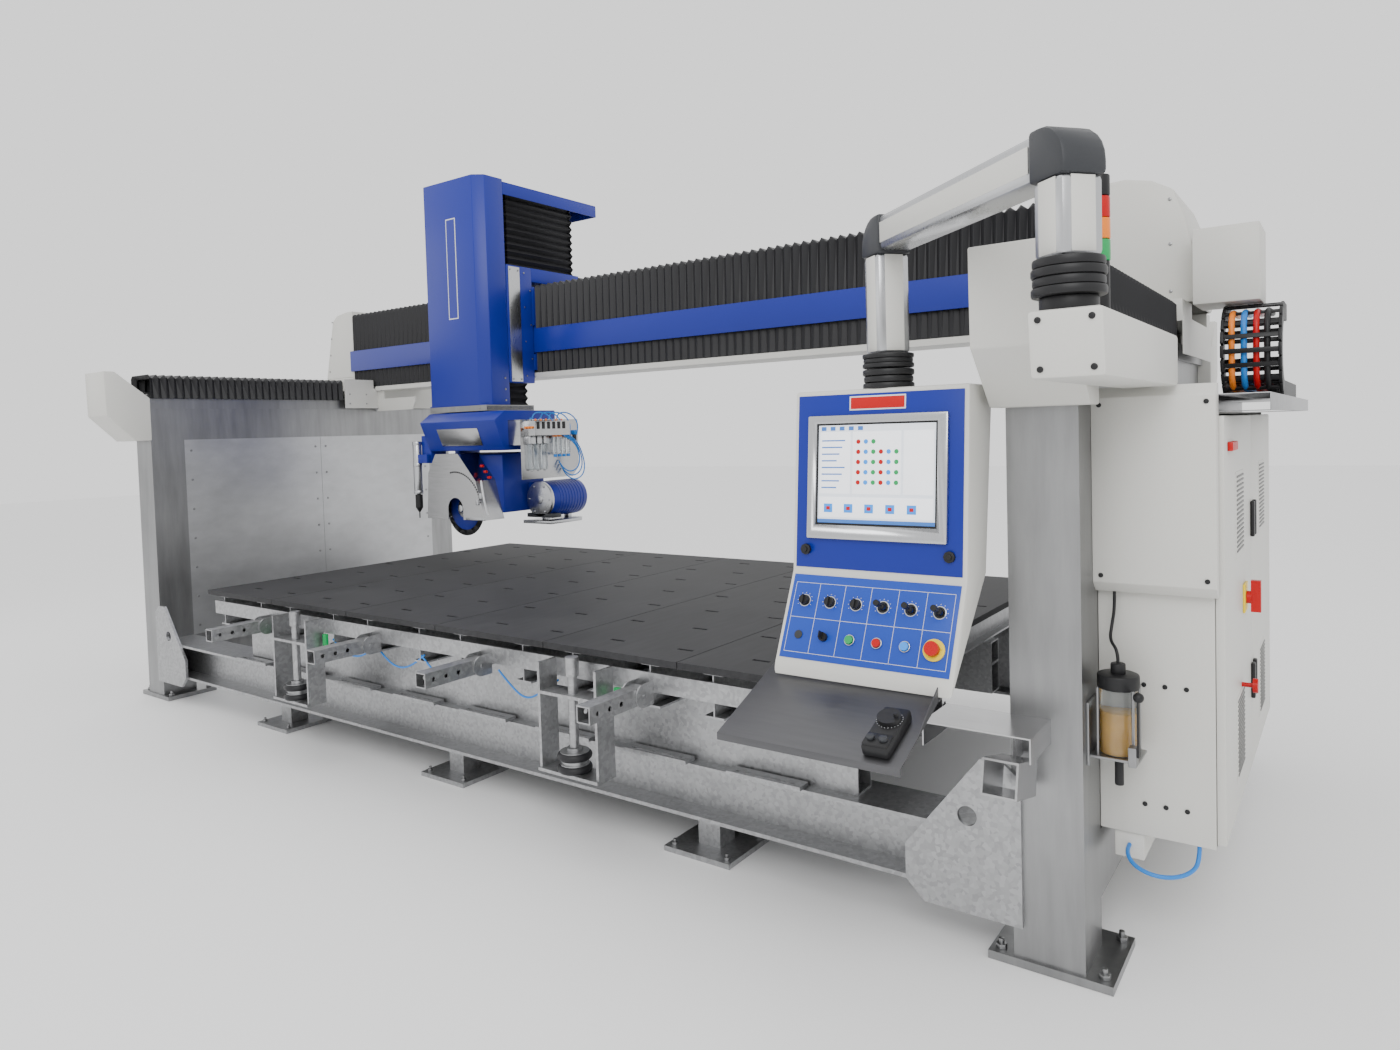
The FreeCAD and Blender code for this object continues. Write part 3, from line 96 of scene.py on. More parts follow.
@dataclass(frozen=True)
class Finish:
    """One material: its colour, gloss and surface, and the record's slot it belongs to."""

    name: str
    slot: str
    colour: tuple[float, float, float]
    surface: Surface
    roughness: float
    metallic: float = 0.0
    grain: float = 60.0
    stretch: Point = (1.0, 1.0, 1.0)
    mottle: float = 0.12
    bump: float = 0.05

    def material(self) -> bpy.types.Material:
        """Make the material once, and hand back the same one after that.

        Returns:
            The node material of this finish.
        """
        found = bpy.data.materials.get("look_" + self.name)
        if found is not None:
            return found
        made = bpy.data.materials.new("look_" + self.name)
        made.use_nodes = True
        nodes, links = made.node_tree.nodes, made.node_tree.links
        shader = nodes["Principled BSDF"]
        place = nodes.new("ShaderNodeTexCoord")
        turn = nodes.new("ShaderNodeMapping")
        turn.inputs["Scale"].default_value = self.stretch
        links.new(place.outputs["Object"], turn.inputs["Vector"])
        if self.surface is Surface.SPANGLE:
            pattern = nodes.new("ShaderNodeTexVoronoi")
            pattern.inputs["Scale"].default_value = self.grain
            value = pattern.outputs["Color"]
        else:
            pattern = nodes.new("ShaderNodeTexNoise")
            pattern.inputs["Scale"].default_value = self.grain
            pattern.inputs["Detail"].default_value = 5.0
            pattern.inputs["Roughness"].default_value = 0.6
            value = pattern.outputs["Fac"]
        links.new(turn.outputs["Vector"], pattern.inputs["Vector"])
        cloud = nodes.new("ShaderNodeTexNoise")
        cloud.inputs["Scale"].default_value = CLOUD_SCALE
        cloud.inputs["Detail"].default_value = 6.0
        links.new(place.outputs["Object"], cloud.inputs["Vector"])
        blend = nodes.new("ShaderNodeMix")
        blend.data_type = "FLOAT"
        blend.inputs[0].default_value = GRAIN_SHARE
        links.new(value, blend.inputs[2])
        links.new(cloud.outputs["Fac"], blend.inputs[3])
        ramp = nodes.new("ShaderNodeValToRGB")
        dark = tuple(c * (1.0 - self.mottle) for c in self.colour)
        light = tuple(min(1.0, c * (1.0 + self.mottle)) for c in self.colour)
        ramp.color_ramp.elements[0].color = (*dark, 1.0)
        ramp.color_ramp.elements[0].position = 0.3
        ramp.color_ramp.elements[1].color = (*light, 1.0)
        ramp.color_ramp.elements[1].position = 0.7
        links.new(blend.outputs[0], ramp.inputs["Fac"])
        links.new(ramp.outputs["Color"], shader.inputs["Base Color"])
        gloss = nodes.new("ShaderNodeMapRange")
        gloss.inputs["To Min"].default_value = max(0.03, self.roughness - 0.08)
        gloss.inputs["To Max"].default_value = min(1.0, self.roughness + 0.1)
        links.new(blend.outputs[0], gloss.inputs["Value"])
        links.new(gloss.outputs["Result"], shader.inputs["Roughness"])
        relief = nodes.new("ShaderNodeBump")
        relief.inputs["Strength"].default_value = self.bump
        relief.inputs["Distance"].default_value = 0.001
        links.new(value, relief.inputs["Height"])
        links.new(relief.outputs["Normal"], shader.inputs["Normal"])
        shader.inputs["Metallic"].default_value = self.metallic
        if self.surface is Surface.BRUSHED:
            shader.inputs["Anisotropic"].default_value = 0.4
        if self.surface in (Surface.PLASTIC, Surface.RUBBER):
            shader.inputs["Specular IOR Level"].default_value = 0.28
        if self.surface is Surface.PAINT:
            shader.inputs["Specular IOR Level"].default_value = 0.3
            shader.inputs["Coat Weight"].default_value = 0.08
            shader.inputs["Coat Roughness"].default_value = 0.25
        if self.surface is Surface.CLEAR:
            shader.inputs["Transmission Weight"].default_value = 0.93
            shader.inputs["IOR"].default_value = 1.45
        if self.surface is Surface.GLOW:
            links.new(ramp.outputs["Color"], shader.inputs["Emission Color"])
            shader.inputs["Emission Strength"].default_value = 0.75
        return made


STEEL = Finish("raw_steel", "steel", (0.30, 0.302, 0.305), Surface.BRUSHED, 0.36, 1.0, 18,
               (1, 1, 0.12), 0.22, 0.06)
GALVANISED = Finish("galvanised", "galvanised", (0.38, 0.383, 0.39), Surface.SPANGLE, 0.38, 0.9, 75,
                    mottle=0.15, bump=0.03)
WALL_SHEET = Finish("wall_sheet", "galvanised", (0.50, 0.505, 0.515), Surface.BRUSHED, 0.34, 0.9, 7,
                    (1, 1, 2.0), 0.14, 0.03)
STAINLESS = Finish("stainless", "stainless", (0.45, 0.45, 0.455), Surface.BRUSHED, 0.22, 1.0, 90,
                   (0.1, 1, 1), 0.1, 0.04)
DARK_STEEL = Finish("tray_steel", "stainless", (0.11, 0.11, 0.115), Surface.BRUSHED, 0.38, 0.9, 60,
                    (0.1, 1, 1), 0.12, 0.04)
ALUMINIUM = Finish("aluminium", "aluminium", (0.50, 0.507, 0.52), Surface.BRUSHED, 0.27, 1.0, 150,
                   (1, 1, 0.1), 0.04, 0.015)
CREAM = Finish("cream_paint", "cream_paint", (0.60, 0.595, 0.56), Surface.PAINT, 0.42, grain=240,
                    mottle=0.035)
BLUE = Finish("blue_paint", "blue_paint", (0.010, 0.022, 0.27), Surface.PAINT, 0.32, grain=260, mottle=0.08)
GREY = Finish("grey_paint", "grey_paint", (0.03, 0.032, 0.036), Surface.PAINT, 0.42, grain=200, mottle=0.1)
BELLOWS = Finish("bellows_cloth", "bellows_rubber", (0.018, 0.018, 0.02), Surface.RUBBER, 0.42, grain=500,
                    mottle=0.3, bump=0.15)
RUBBER = Finish("table_rubber", "black_rubber", (0.028, 0.028, 0.03), Surface.RUBBER, 0.62, grain=34,
                stretch=(1, 0.14, 1), mottle=0.55, bump=0.3)
BLACK = Finish("black_plastic", "black_plastic", (0.015, 0.015, 0.016), Surface.PLASTIC, 0.4, grain=400,
                    mottle=0.2)
RED = Finish("red_plastic", "red_plastic", (0.48, 0.004, 0.005), Surface.PLASTIC, 0.28, grain=300)
GREEN = Finish("green_plastic", "green_plastic", (0.01, 0.33, 0.09), Surface.PLASTIC, 0.3, grain=300)
LAMP_BLUE = Finish("lamp_blue", "blue_plastic", (0.03, 0.30, 0.95), Surface.PLASTIC, 0.25, grain=300)
HOSE_BLUE = Finish("hose_blue", "blue_plastic", (0.02, 0.20, 0.62), Surface.PLASTIC, 0.3, grain=300)
ORANGE = Finish("orange_plastic", "amber", (0.85, 0.22, 0.02), Surface.PLASTIC, 0.3, grain=300)
YELLOW = Finish("yellow_plastic", "amber", (0.85, 0.62, 0.02), Surface.PLASTIC, 0.35, grain=300)
AMBER = Finish("amber_oil", "amber", (0.62, 0.33, 0.015), Surface.PLASTIC, 0.2, grain=20)
CLEAR = Finish("clear_bowl", "amber", (0.80, 0.84, 0.86), Surface.CLEAR, 0.1, grain=20)
WHITE = Finish("white_print", "cream_paint", (0.70, 0.71, 0.73), Surface.PLASTIC, 0.45, grain=300,
                    mottle=0.03)
PANEL_BLUE = Finish("panel_blue", "blue_paint", (0.007, 0.02, 0.26), Surface.PLASTIC, 0.3, grain=300,
                    mottle=0.06)
# Dark grey of the louvre slots on the cream vents: painted shade, standing for the shadow inside the slots.
LOUVRE_PAINTED_SHADE = Finish("louvre_painted_shade", "cream_paint", (0.16, 0.16, 0.155), Surface.PAINT, 0.5, grain=240,
                    mottle=0.05)
KEY_BLUE = Finish("key_panel_blue", "blue_paint", (0.016, 0.06, 0.40), Surface.PLASTIC, 0.3, grain=300,
                    mottle=0.06)
SCREEN = Finish("screen_field", "grey_paint", (0.66, 0.70, 0.76), Surface.GLOW, 0.2, grain=30, mottle=0.05)
SCREEN_PALE = Finish("screen_pane", "grey_paint", (0.84, 0.86, 0.90), Surface.GLOW, 0.2, grain=30,
                    mottle=0.03)
SCREEN_BAR = Finish("screen_bar", "grey_paint", (0.03, 0.12, 0.38), Surface.GLOW, 0.2, grain=30)


class Bench:
    """Modelling moves shared by all sub-assemblies. Sizes come in millimetres."""

    @staticmethod
    def spot(axis: str, along: float, a: float, b: float) -> Vector:
        """Point in metres from the coordinate along an axis and the other two, in order."""
        return Vector({"x": (along, a, b), "y": (a, along, b), "z": (a, b, along)}[axis]) * MM

    @staticmethod
    def clear() -> None:
        """Deselect everything."""
        bpy.ops.object.select_all(action="DESELECT")

    @staticmethod
    def alone(piece: bpy.types.Object) -> None:
        """Select one piece and make it active."""
        Bench.clear()
        piece.select_set(True)
        bpy.context.view_layer.objects.active = piece

    @staticmethod
    def bevel(piece: bpy.types.Object, width: float, segments: int = 2) -> bpy.types.Object:
        """Round the sharp edges of a piece.

        Args:
            piece: The piece.
            width: Bevel width in millimetres, none if zero.
            segments: Number of facets across the round.

        Returns:
            The same piece.
        """
        Bench.alone(piece)
        if width > 0:
            change = piece.modifiers.new("round", "BEVEL")
            change.width = width * MM
            change.segments = segments
            change.limit_method = "ANGLE"
            change.angle_limit = math.radians(28)
            bpy.ops.object.modifier_apply(modifier=change.name)
        bpy.ops.object.shade_smooth_by_angle(angle=math.radians(FOLD_ANGLE))
        return piece

    @staticmethod
    def block(low: Point, high: Point, round_: float = 1.5) -> bpy.types.Object:
        """A block with rounded edges between two corners.

        Args:
            low: Lowest corner.
            high: Highest corner.
            round_: Edge radius.

        Returns:
            The block.
        """
        Bench.clear()
        middle = [(a + b) / 2 * MM for a, b in zip(low, high)]
        bpy.ops.mesh.primitive_cube_add(size=1, location=middle)
        made = bpy.context.object
        made.scale = [max((b - a) * MM, 1e-5) for a, b in zip(low, high)]
        bpy.ops.object.transform_apply(location=True, rotation=True, scale=True)
        smallest = min(b - a for a, b in zip(low, high))
        return Bench.bevel(made, min(round_, smallest * 0.3))

    @staticmethod
    def rod(start: Point, radius: float, length: float, axis: str = "z", sides: int = 28,
            round_: float = 1.0, tip: float | None = None) -> bpy.types.Object:
        """A turned rod or cone from a point along a main axis.

        Args:
            start: Middle of its first end.
            radius: Radius at the start.
            length: Length along the axis.
            axis: x, y or z.
            sides: Facets round it.
            round_: Edge radius.
            tip: Radius at the far end, the same if not given.

        Returns:
            The rod.
        """
        Bench.clear()
        way = {"x": Vector((1, 0, 0)), "y": Vector((0, 1, 0)), "z": Vector((0, 0, 1))}[axis]
        middle = (Vector(start) + way * length / 2) * MM
        bpy.ops.mesh.primitive_cone_add(vertices=sides, radius1=radius * MM,
                                        radius2=(radius if tip is None else tip) * MM,
                                        depth=length * MM, location=middle,
                                        rotation=way.to_track_quat("Z", "Y").to_euler())
        made = bpy.context.object
        bpy.ops.object.transform_apply(location=True, rotation=True, scale=True)
        return Bench.bevel(made, min(round_, radius * 0.3, length * 0.3))

    @staticmethod
    def outline(points: Sequence[Pair], axis: str, start: float, thickness: float,
                round_: float = 2.0) -> bpy.types.Object:
        """A flat outline pulled out along a main axis.

        Args:
            points: The other two coordinates of each corner, in order.
            axis: Direction of the pull: x, y or z.
            start: Coordinate where it begins.
            thickness: Length of the pull.
            round_: Edge radius.

        Returns:
            The solid outline.
        """
        Bench.clear()
        bpy.ops.mesh.primitive_circle_add(vertices=len(points), radius=1.0, fill_type="NGON")
        made = bpy.context.object
        for corner, (a, b) in zip(made.data.vertices, points):
            corner.co = Bench.spot(axis, start, a, b)
        pull = Bench.spot(axis, thickness, 0.0, 0.0)
        bpy.ops.object.mode_set(mode="EDIT")
        bpy.ops.mesh.select_all(action="SELECT")
        bpy.ops.mesh.extrude_region_move(TRANSFORM_OT_translate={"value": pull})
        bpy.ops.mesh.select_all(action="SELECT")
        bpy.ops.mesh.normals_make_consistent(inside=False)
        bpy.ops.object.mode_set(mode="OBJECT")
        return Bench.bevel(made, round_)

    @staticmethod
    def hollow(piece: bpy.types.Object, wall: float, openings: Sequence[Point]) -> bpy.types.Object:
        """Turn a closed solid into a sheet shell open on some sides.

        Args:
            piece: The solid.
            wall: Sheet thickness, inwards.
            openings: Directions whose flat faces are removed.

        Returns:
            The same piece.
        """
        Bench.alone(piece)
        bpy.ops.object.mode_set(mode="EDIT")
        bpy.ops.mesh.select_mode(type="FACE")
        bpy.ops.mesh.select_all(action="DESELECT")
        bpy.ops.object.mode_set(mode="OBJECT")
        for face in piece.data.polygons:
            face.select = any(face.normal.dot(Vector(way)) > 0.99 for way in openings)
        bpy.ops.object.mode_set(mode="EDIT")
        bpy.ops.mesh.delete(type="FACE")
        bpy.ops.object.mode_set(mode="OBJECT")
        change = piece.modifiers.new("wall", "SOLIDIFY")
        change.thickness = wall * MM
        change.offset = -1.0
        bpy.ops.object.modifier_apply(modifier=change.name)
        return piece

    @staticmethod
    def cut(piece: bpy.types.Object, tools: Sequence[bpy.types.Object]) -> bpy.types.Object:
        """Cut tools out of a piece and throw the tools away.

        Args:
            piece: The piece that is cut.
            tools: The shapes taken out of it.

        Returns:
            The same piece.
        """
        for tool in tools:
            Bench.alone(piece)
            change = piece.modifiers.new("cut", "BOOLEAN")
            change.operation = "DIFFERENCE"
            change.object = tool
            change.solver = "EXACT"
            bpy.ops.object.modifier_apply(modifier=change.name)
            bpy.data.objects.remove(tool, do_unlink=True)
        return piece

    @staticmethod
    def repeat(piece: bpy.types.Object, places: Sequence[Point | Matrix]) -> list[bpy.types.Object]:
        """Copies of one piece, each with its own mesh.

        Args:
            piece: The piece, which is used up.
            places: How far, or by which matrix, each copy is moved.

        Returns:
            The copies.
        """
        made = []
        for place in places:
            twin = piece.copy()
            twin.data = piece.data.copy()
            move = place if isinstance(place, Matrix) else Matrix.Translation(Vector(place) * MM)
            twin.data.transform(move)
            bpy.context.scene.collection.objects.link(twin)
            made.append(twin)
        bpy.data.objects.remove(piece, do_unlink=True)
        return made

    @staticmethod
    def join(pieces: Sequence[bpy.types.Object]) -> bpy.types.Object:
        """Make one object of several.

        Args:
            pieces: The objects, the first of which keeps its place.

        Returns:
            The joined object.
        """
        Bench.clear()
        for piece in pieces:
            piece.select_set(True)
        bpy.context.view_layer.objects.active = pieces[0]
        if len(pieces) > 1:
            bpy.ops.object.join()
        return bpy.context.view_layer.objects.active

    @staticmethod
    def dress(pieces: Sequence[bpy.types.Object] | bpy.types.Object, name: str, finish: Finish, body: str,
              replaces: Sequence[str] = (), place: Matrix | None = None) -> bpy.types.Object:
        """Name a piece, give it its finish and let it ride on its body.

        Args:
            pieces: The piece, or several that become one.
            name: Its name.
            finish: Its finish.
            body: The CAD body that carries it.
            replaces: CAD nodes that it stands for.
            place: Where its mesh goes, if it was made elsewhere.

        Returns:
            The piece.
        """
        piece = Bench.join(pieces) if isinstance(pieces, (list, tuple)) else pieces
        piece.name = name
        if place is not None:
            piece.data.transform(place)
        piece.data.materials.clear()
        piece.data.materials.append(finish.material())
        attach(piece, body)
        if replaces:
            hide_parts(*replaces)
        LOG.info("%s on %s, %d faces", name, body, len(piece.data.polygons))
        return piece

    @staticmethod
    def pleats(profile: Sequence[Pair], axis: str, start: float, end: float, pitch: float,
               depth: float) -> bpy.types.Object:
        """Folded bellows along a main axis.

        Args:
            profile: Outer line of the section, in the other two coordinates.
            axis: Direction of the travel.
            start: Where it begins.
            end: Where it ends.
            pitch: Length of one fold.
            depth: Depth of a fold.

        Returns:
            The bellows, as a thin closed sheet.
        """
        folds = max(2, round(abs(end - start) / pitch))
        step = (end - start) / folds
        inner = []
        for index, spot in enumerate(profile):
            normal = Vector((0.0, 0.0))
            for first, second in ((index - 1, index), (index, index + 1)):
                if first >= 0 and second < len(profile):
                    run = Vector(profile[second]) - Vector(profile[first])
                    normal += Vector((-run.y, run.x)).normalized()
            inner.append(Vector(spot) - normal * depth)
        Bench.clear()
        bpy.ops.mesh.primitive_circle_add(vertices=len(profile), radius=1.0, fill_type="NOTHING")
        made = bpy.context.object
        for corner, (a, b) in zip(made.data.vertices, profile):
            corner.co = Bench.spot(axis, start, a, b)
        bpy.ops.object.mode_set(mode="EDIT")
        bpy.ops.mesh.select_mode(type="EDGE")
        bpy.ops.mesh.select_all(action="DESELECT")
        bpy.ops.object.mode_set(mode="OBJECT")
        for edge in made.data.edges:
            edge.select = set(edge.vertices) == {0, len(profile) - 1}
        bpy.ops.object.mode_set(mode="EDIT")
        bpy.ops.mesh.delete(type="EDGE")
        bpy.ops.mesh.select_mode(type="VERT")
        bpy.ops.mesh.select_all(action="SELECT")
        line = [Bench.spot(axis, start, a, b) for a, b in profile]
        shift = Bench.spot(axis, step / 2, 0.0, 0.0)
        for row, target in ((1, inner), (2, profile)):
            bpy.ops.mesh.extrude_region_move(TRANSFORM_OT_translate={"value": shift})
            bpy.ops.object.mode_set(mode="OBJECT")
            goal = [Bench.spot(axis, start + row * step / 2, p[0], p[1]) for p in target]
            for corner in made.data.vertices:
                if corner.select:
                    gaps = [(corner.co - place - shift).length for place in line]
                    corner.co = goal[gaps.index(min(gaps))]
            line = goal
            bpy.ops.object.mode_set(mode="EDIT")
        bpy.ops.object.mode_set(mode="OBJECT")
        Bench.alone(made)
        repeat = made.modifiers.new("folds", "ARRAY")
        repeat.count = folds
        repeat.use_relative_offset = False
        repeat.use_constant_offset = True
        repeat.constant_offset_displace = shift * 2
        repeat.use_merge_vertices = True
        repeat.merge_threshold = 0.1 * MM
        bpy.ops.object.modifier_apply(modifier=repeat.name)
        bpy.ops.object.mode_set(mode="EDIT")
        bpy.ops.mesh.select_all(action="SELECT")
        bpy.ops.mesh.normals_make_consistent(inside=False)
        bpy.ops.object.mode_set(mode="OBJECT")
        change = made.modifiers.new("wall", "SOLIDIFY")
        change.thickness = CLOTH * MM
        change.offset = 0.0
        bpy.ops.object.modifier_apply(modifier=change.name)
        bpy.ops.object.mode_set(mode="EDIT")
        bpy.ops.mesh.select_all(action="SELECT")
        bpy.ops.mesh.quads_convert_to_tris(quad_method="FIXED_ALTERNATE")
        bpy.ops.object.mode_set(mode="OBJECT")
        return made

    @staticmethod
    def stretch(piece: bpy.types.Object, name: str, finish: Finish, pair: tuple[str, str], start: Point,
                end: Point, node: str | None = None) -> None:
        """Name and finish a soft piece that lies between two bodies, and fix its mesh where it is.

        Args:
            piece: The piece.
            name: Its name.
            finish: Its finish.
            pair: The bodies it lies between, named in the log.
            start: Where it leaves the first body, in metres; not used.
            end: Where it meets the second body, in metres; not used.
            node: The CAD node that it stands for.
        """
        piece.name = name
        piece.data.materials.clear()
        piece.data.materials.append(finish.material())
        if node:
            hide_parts(node)
        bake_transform(piece)
        LOG.info("%s between %s and %s", name, *pair)

    @staticmethod
    def hose(points: Sequence[Point], radius: float) -> bpy.types.Object:
        """A smooth round hose on a route.

        Args:
            points: Control points of the route.
            radius: Radius of the hose.

        Returns:
            The hose, as a curve.
        """
        curve = bpy.data.curves.new("hose", "CURVE")
        curve.dimensions = "3D"
        curve.bevel_depth = radius * MM
        curve.bevel_resolution = 3
        curve.use_fill_caps = True
        line = curve.splines.new("NURBS")
        line.points.add(len(points) - 1)
        for spot, point in zip(line.points, points):
            spot.co = (*[c * MM for c in point], 1.0)
        line.order_u = 3
        line.use_endpoint_u = True
        made = bpy.data.objects.new("hose", curve)
        bpy.context.scene.collection.objects.link(made)
        return made

    @staticmethod
    def to_mesh(piece: bpy.types.Object) -> bpy.types.Object:
        """Turn a curve into a mesh.

        Args:
            piece: The curve.

        Returns:
            The mesh object.
        """
        Bench.alone(piece)
        bpy.ops.object.convert(target="MESH")
        return bpy.context.object


@dataclass
class Studio:
    """Camera at the operator's side, soft lights and a pale floor."""

    position: Point = (3494.4, -3580.7, 1600.0)
    yaw: float = 35.756
    pitch: float = 2.221
    roll: float = 1.685
    sensor: float = 36.0
    focal: float = 23.616
    drop: float = -0.0417857143

    def camera(self) -> None:
        """Place the camera: turned left of +Y, tilted slightly down."""
        yaw, pitch, roll = (math.radians(v) for v in (self.yaw, self.pitch, self.roll))
        ahead = Vector((-math.sin(yaw) * math.cos(pitch), math.cos(yaw) * math.cos(pitch), -math.sin(pitch)))
        right = Vector((math.cos(yaw), math.sin(yaw), 0.0))
        up = right.cross(ahead)
        turned = right * math.cos(roll) - up * math.sin(roll)
        above = right * math.sin(roll) + up * math.cos(roll)
        lens = bpy.data.cameras.new("camera")
        lens.sensor_width = self.sensor
        lens.lens = self.focal
        lens.shift_y = self.drop
        lens.clip_start = 0.05
        eye = bpy.data.objects.new("camera", lens)
        bpy.context.scene.collection.objects.link(eye)
        turn = Matrix((turned, above, -ahead)).transposed().to_4x4()
        eye.matrix_world = Matrix.Translation(Vector(self.position) * MM) @ turn
        bpy.context.scene.camera = eye

    def lights(self) -> None:
        """Large soft lights overhead and in front, over a pale world."""
        world = bpy.data.worlds.new("studio")
        world.use_nodes = True
        world.node_tree.nodes["Background"].inputs["Color"].default_value = (1.0, 1.0, 1.0, 1.0)
        world.node_tree.nodes["Background"].inputs["Strength"].default_value = 1.3
        bpy.context.scene.world = world
        for name, place, aim, size, power in (
                ("key", (4.5, -6.0, 5.5), (0.0, 0.0, 1.0), 4.0, 260.0),
                ("top", (0.0, -1.0, 6.5), (0.0, 0.0, 0.0), 6.0, 60.0),
                ("side", (-6.5, -3.0, 3.5), (0.0, 0.0, 1.0), 3.0, 30.0)):
            lamp = bpy.data.lights.new(name, "AREA")
            lamp.size = size
            lamp.energy = power
            made = bpy.data.objects.new(name, lamp)
            bpy.context.scene.collection.objects.link(made)
            made.location = place
            made.rotation_euler = (Vector(aim) - Vector(place)).to_track_quat("-Z", "Y").to_euler()

    def floor(self) -> None:
        """A wide pale floor."""
        Bench.clear()
        bpy.ops.mesh.primitive_plane_add(size=60.0, location=(0, 0, -0.001))
        ground = bpy.context.object
        ground.name = "floor"
        pale = bpy.data.materials.new("floor")
        pale.use_nodes = True
        shader = pale.node_tree.nodes["Principled BSDF"]
        shader.inputs["Base Color"].default_value = (0.93, 0.93, 0.93, 1.0)
        shader.inputs["Roughness"].default_value = 0.7
        ground.data.materials.append(pale)

    def build(self) -> None:
        """Make the whole studio."""
        self.camera()
        self.lights()
        self.floor()


@dataclass
class CarriedParts:
    """CAD pieces that keep their shape and only get a finish."""

    finishes: dict[str, Finish] = field(default_factory=lambda: {
        "columns": STEEL, "side_beams": STEEL, "wall_panels": WALL_SHEET, "rail_beds": STEEL,
        "cross_beams": GALVANISED, "levelling_feet": GALVANISED, "table_joists": GALVANISED,
        "table_boards": RUBBER, "table_fittings": GALVANISED, "tool_shelf": STAINLESS,
        "gantry_trucks": CREAM, "bridge_beam": CREAM, "ram_column": STEEL, "probe_tip": BLACK,
        "blade_guard": STAINLESS, "handwheel": BLACK, "start_button": GREEN, "stop_button": RED,
        "reset_button": LAMP_BLUE, "estop_button": RED, "key_switch": BLACK, "mode_selector": BLACK,
        "feed_knob": BLACK, "speed_knob": BLACK, "joystick_x": BLACK, "joystick_y": BLACK,
        "joystick_z": BLACK, "main_switch": RED, "door_button": RED, "pump_lever": BLACK,
        "stop_arm_1": GALVANISED, "stop_arm_2": GALVANISED, "stop_arm_3": GALVANISED,
        "stop_arm_4": GALVANISED, "lift_post_1": GALVANISED, "lift_post_2": GALVANISED})

    def build(self, frame: dict) -> None:
        """Give each carried node its material.

        Args:
            frame: The loaded frame.
        """
        for node, finish in self.finishes.items():
            shown = frame["nodes"][node]
            material = finish.material()
            if not shown.material_slots:
                shown.data.materials.append(material)
            for place in shown.material_slots:
                place.link = "OBJECT"
                place.material = material
            LOG.info("%s wears %s", node, finish.name)


@dataclass
class Cords:
    """Three free hoses and cables, on the same routes as their solids."""

    pump: tuple[Point, ...] = ((2915, -740, 1099.7), (2915, -740, 1050), (2908, -748, 1000),
                               (2908, -774, 964), (2936.5, -810, 944), (2936.5, -810, 910.2))
    cabinet: tuple[Point, ...] = ((2940, -700.2, 345), (2940, -752, 345), (2968, -796, 328),
                                  (3020, -812, 318), (3072, -792, 316), (3108, -744, 320),
                                  (3122, -690, 334), (3122, -690, 384.7))
    conduit: tuple[Point, ...] = ((2990, -749.7, 1752), (2990, -690, 1752), (2988, -622, 1734),
                                  (2985, -580, 1684), (2985, -580, 1610.3))

    def build(self) -> None:
        """Make each cord, give it its finish and let it ride on the frame in place of its CAD node."""
        for name, points, radius, length, finish in (
                ("pump_cable", self.pump, 4.5, 0.223, BLACK),
                ("cabinet_hose", self.cabinet, 6.0, 0.372, HOSE_BLUE),
                ("arm_hose", self.conduit, 22.0, 0.265, BLACK)):
            made = Bench.hose(points, radius)
            made.name = name + "_run"
            made.data.materials.append(finish.material())
            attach(made, "frame")
            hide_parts(name)


@dataclass
class RailCovers:
    """Bellows over the side rails and the sloping caps at their ends."""

    rail: float = 2782.5
    front: float = -910.0
    rear: float = 1400.0
    half: float = 130.0
    low: float = 1905.5
    high: float = 2055.0

    def caps(self) -> None:
        """Four folded sheet caps."""
        caps = []
        for side in (-1, 1):
            for end, way in ((self.front, -1), (self.rear, 1)):
                line = [(end + way * a, b) for a, b in (
                    (255, 2065), (195, 2065), (0, 1905), (0, 1640), (95, 1640), (250, 1797))]
                caps.append(Bench.outline(line, "x", side * self.rail - 135, 270, 5.0))
        Bench.dress(caps, "rail_end_caps", CREAM, "frame", ["end_caps"])

    def bellows(self) -> None:
        """Folded covers between the rail ends and the trucks."""
        spans = (("front", self.front + 6, 439.0, ("frame", "gantry")),
                 ("rear", 1241.0, self.rear - 6, ("gantry", "frame")))
        for side, hand in ((-1, "left"), (1, "right")):
            middle = side * self.rail
            line = [(middle - self.half, self.low), (middle - self.half, self.high - 18),
                    (middle - self.half + 18, self.high), (middle + self.half - 18, self.high),
                    (middle + self.half, self.high - 18), (middle + self.half, self.low)]
            for name, start, end, pair in spans:
                made = Bench.pleats(line, "y", start, end, 48.0, 14.0)
                Bench.stretch(made, "%s_%s_rail_bellows" % (name, hand), BELLOWS, pair, (0, start * MM, 0),
                              (0, end * MM, 0), "rail_bellows")

    def build(self) -> None:
        """Make the covers."""
        self.caps()
        self.bellows()


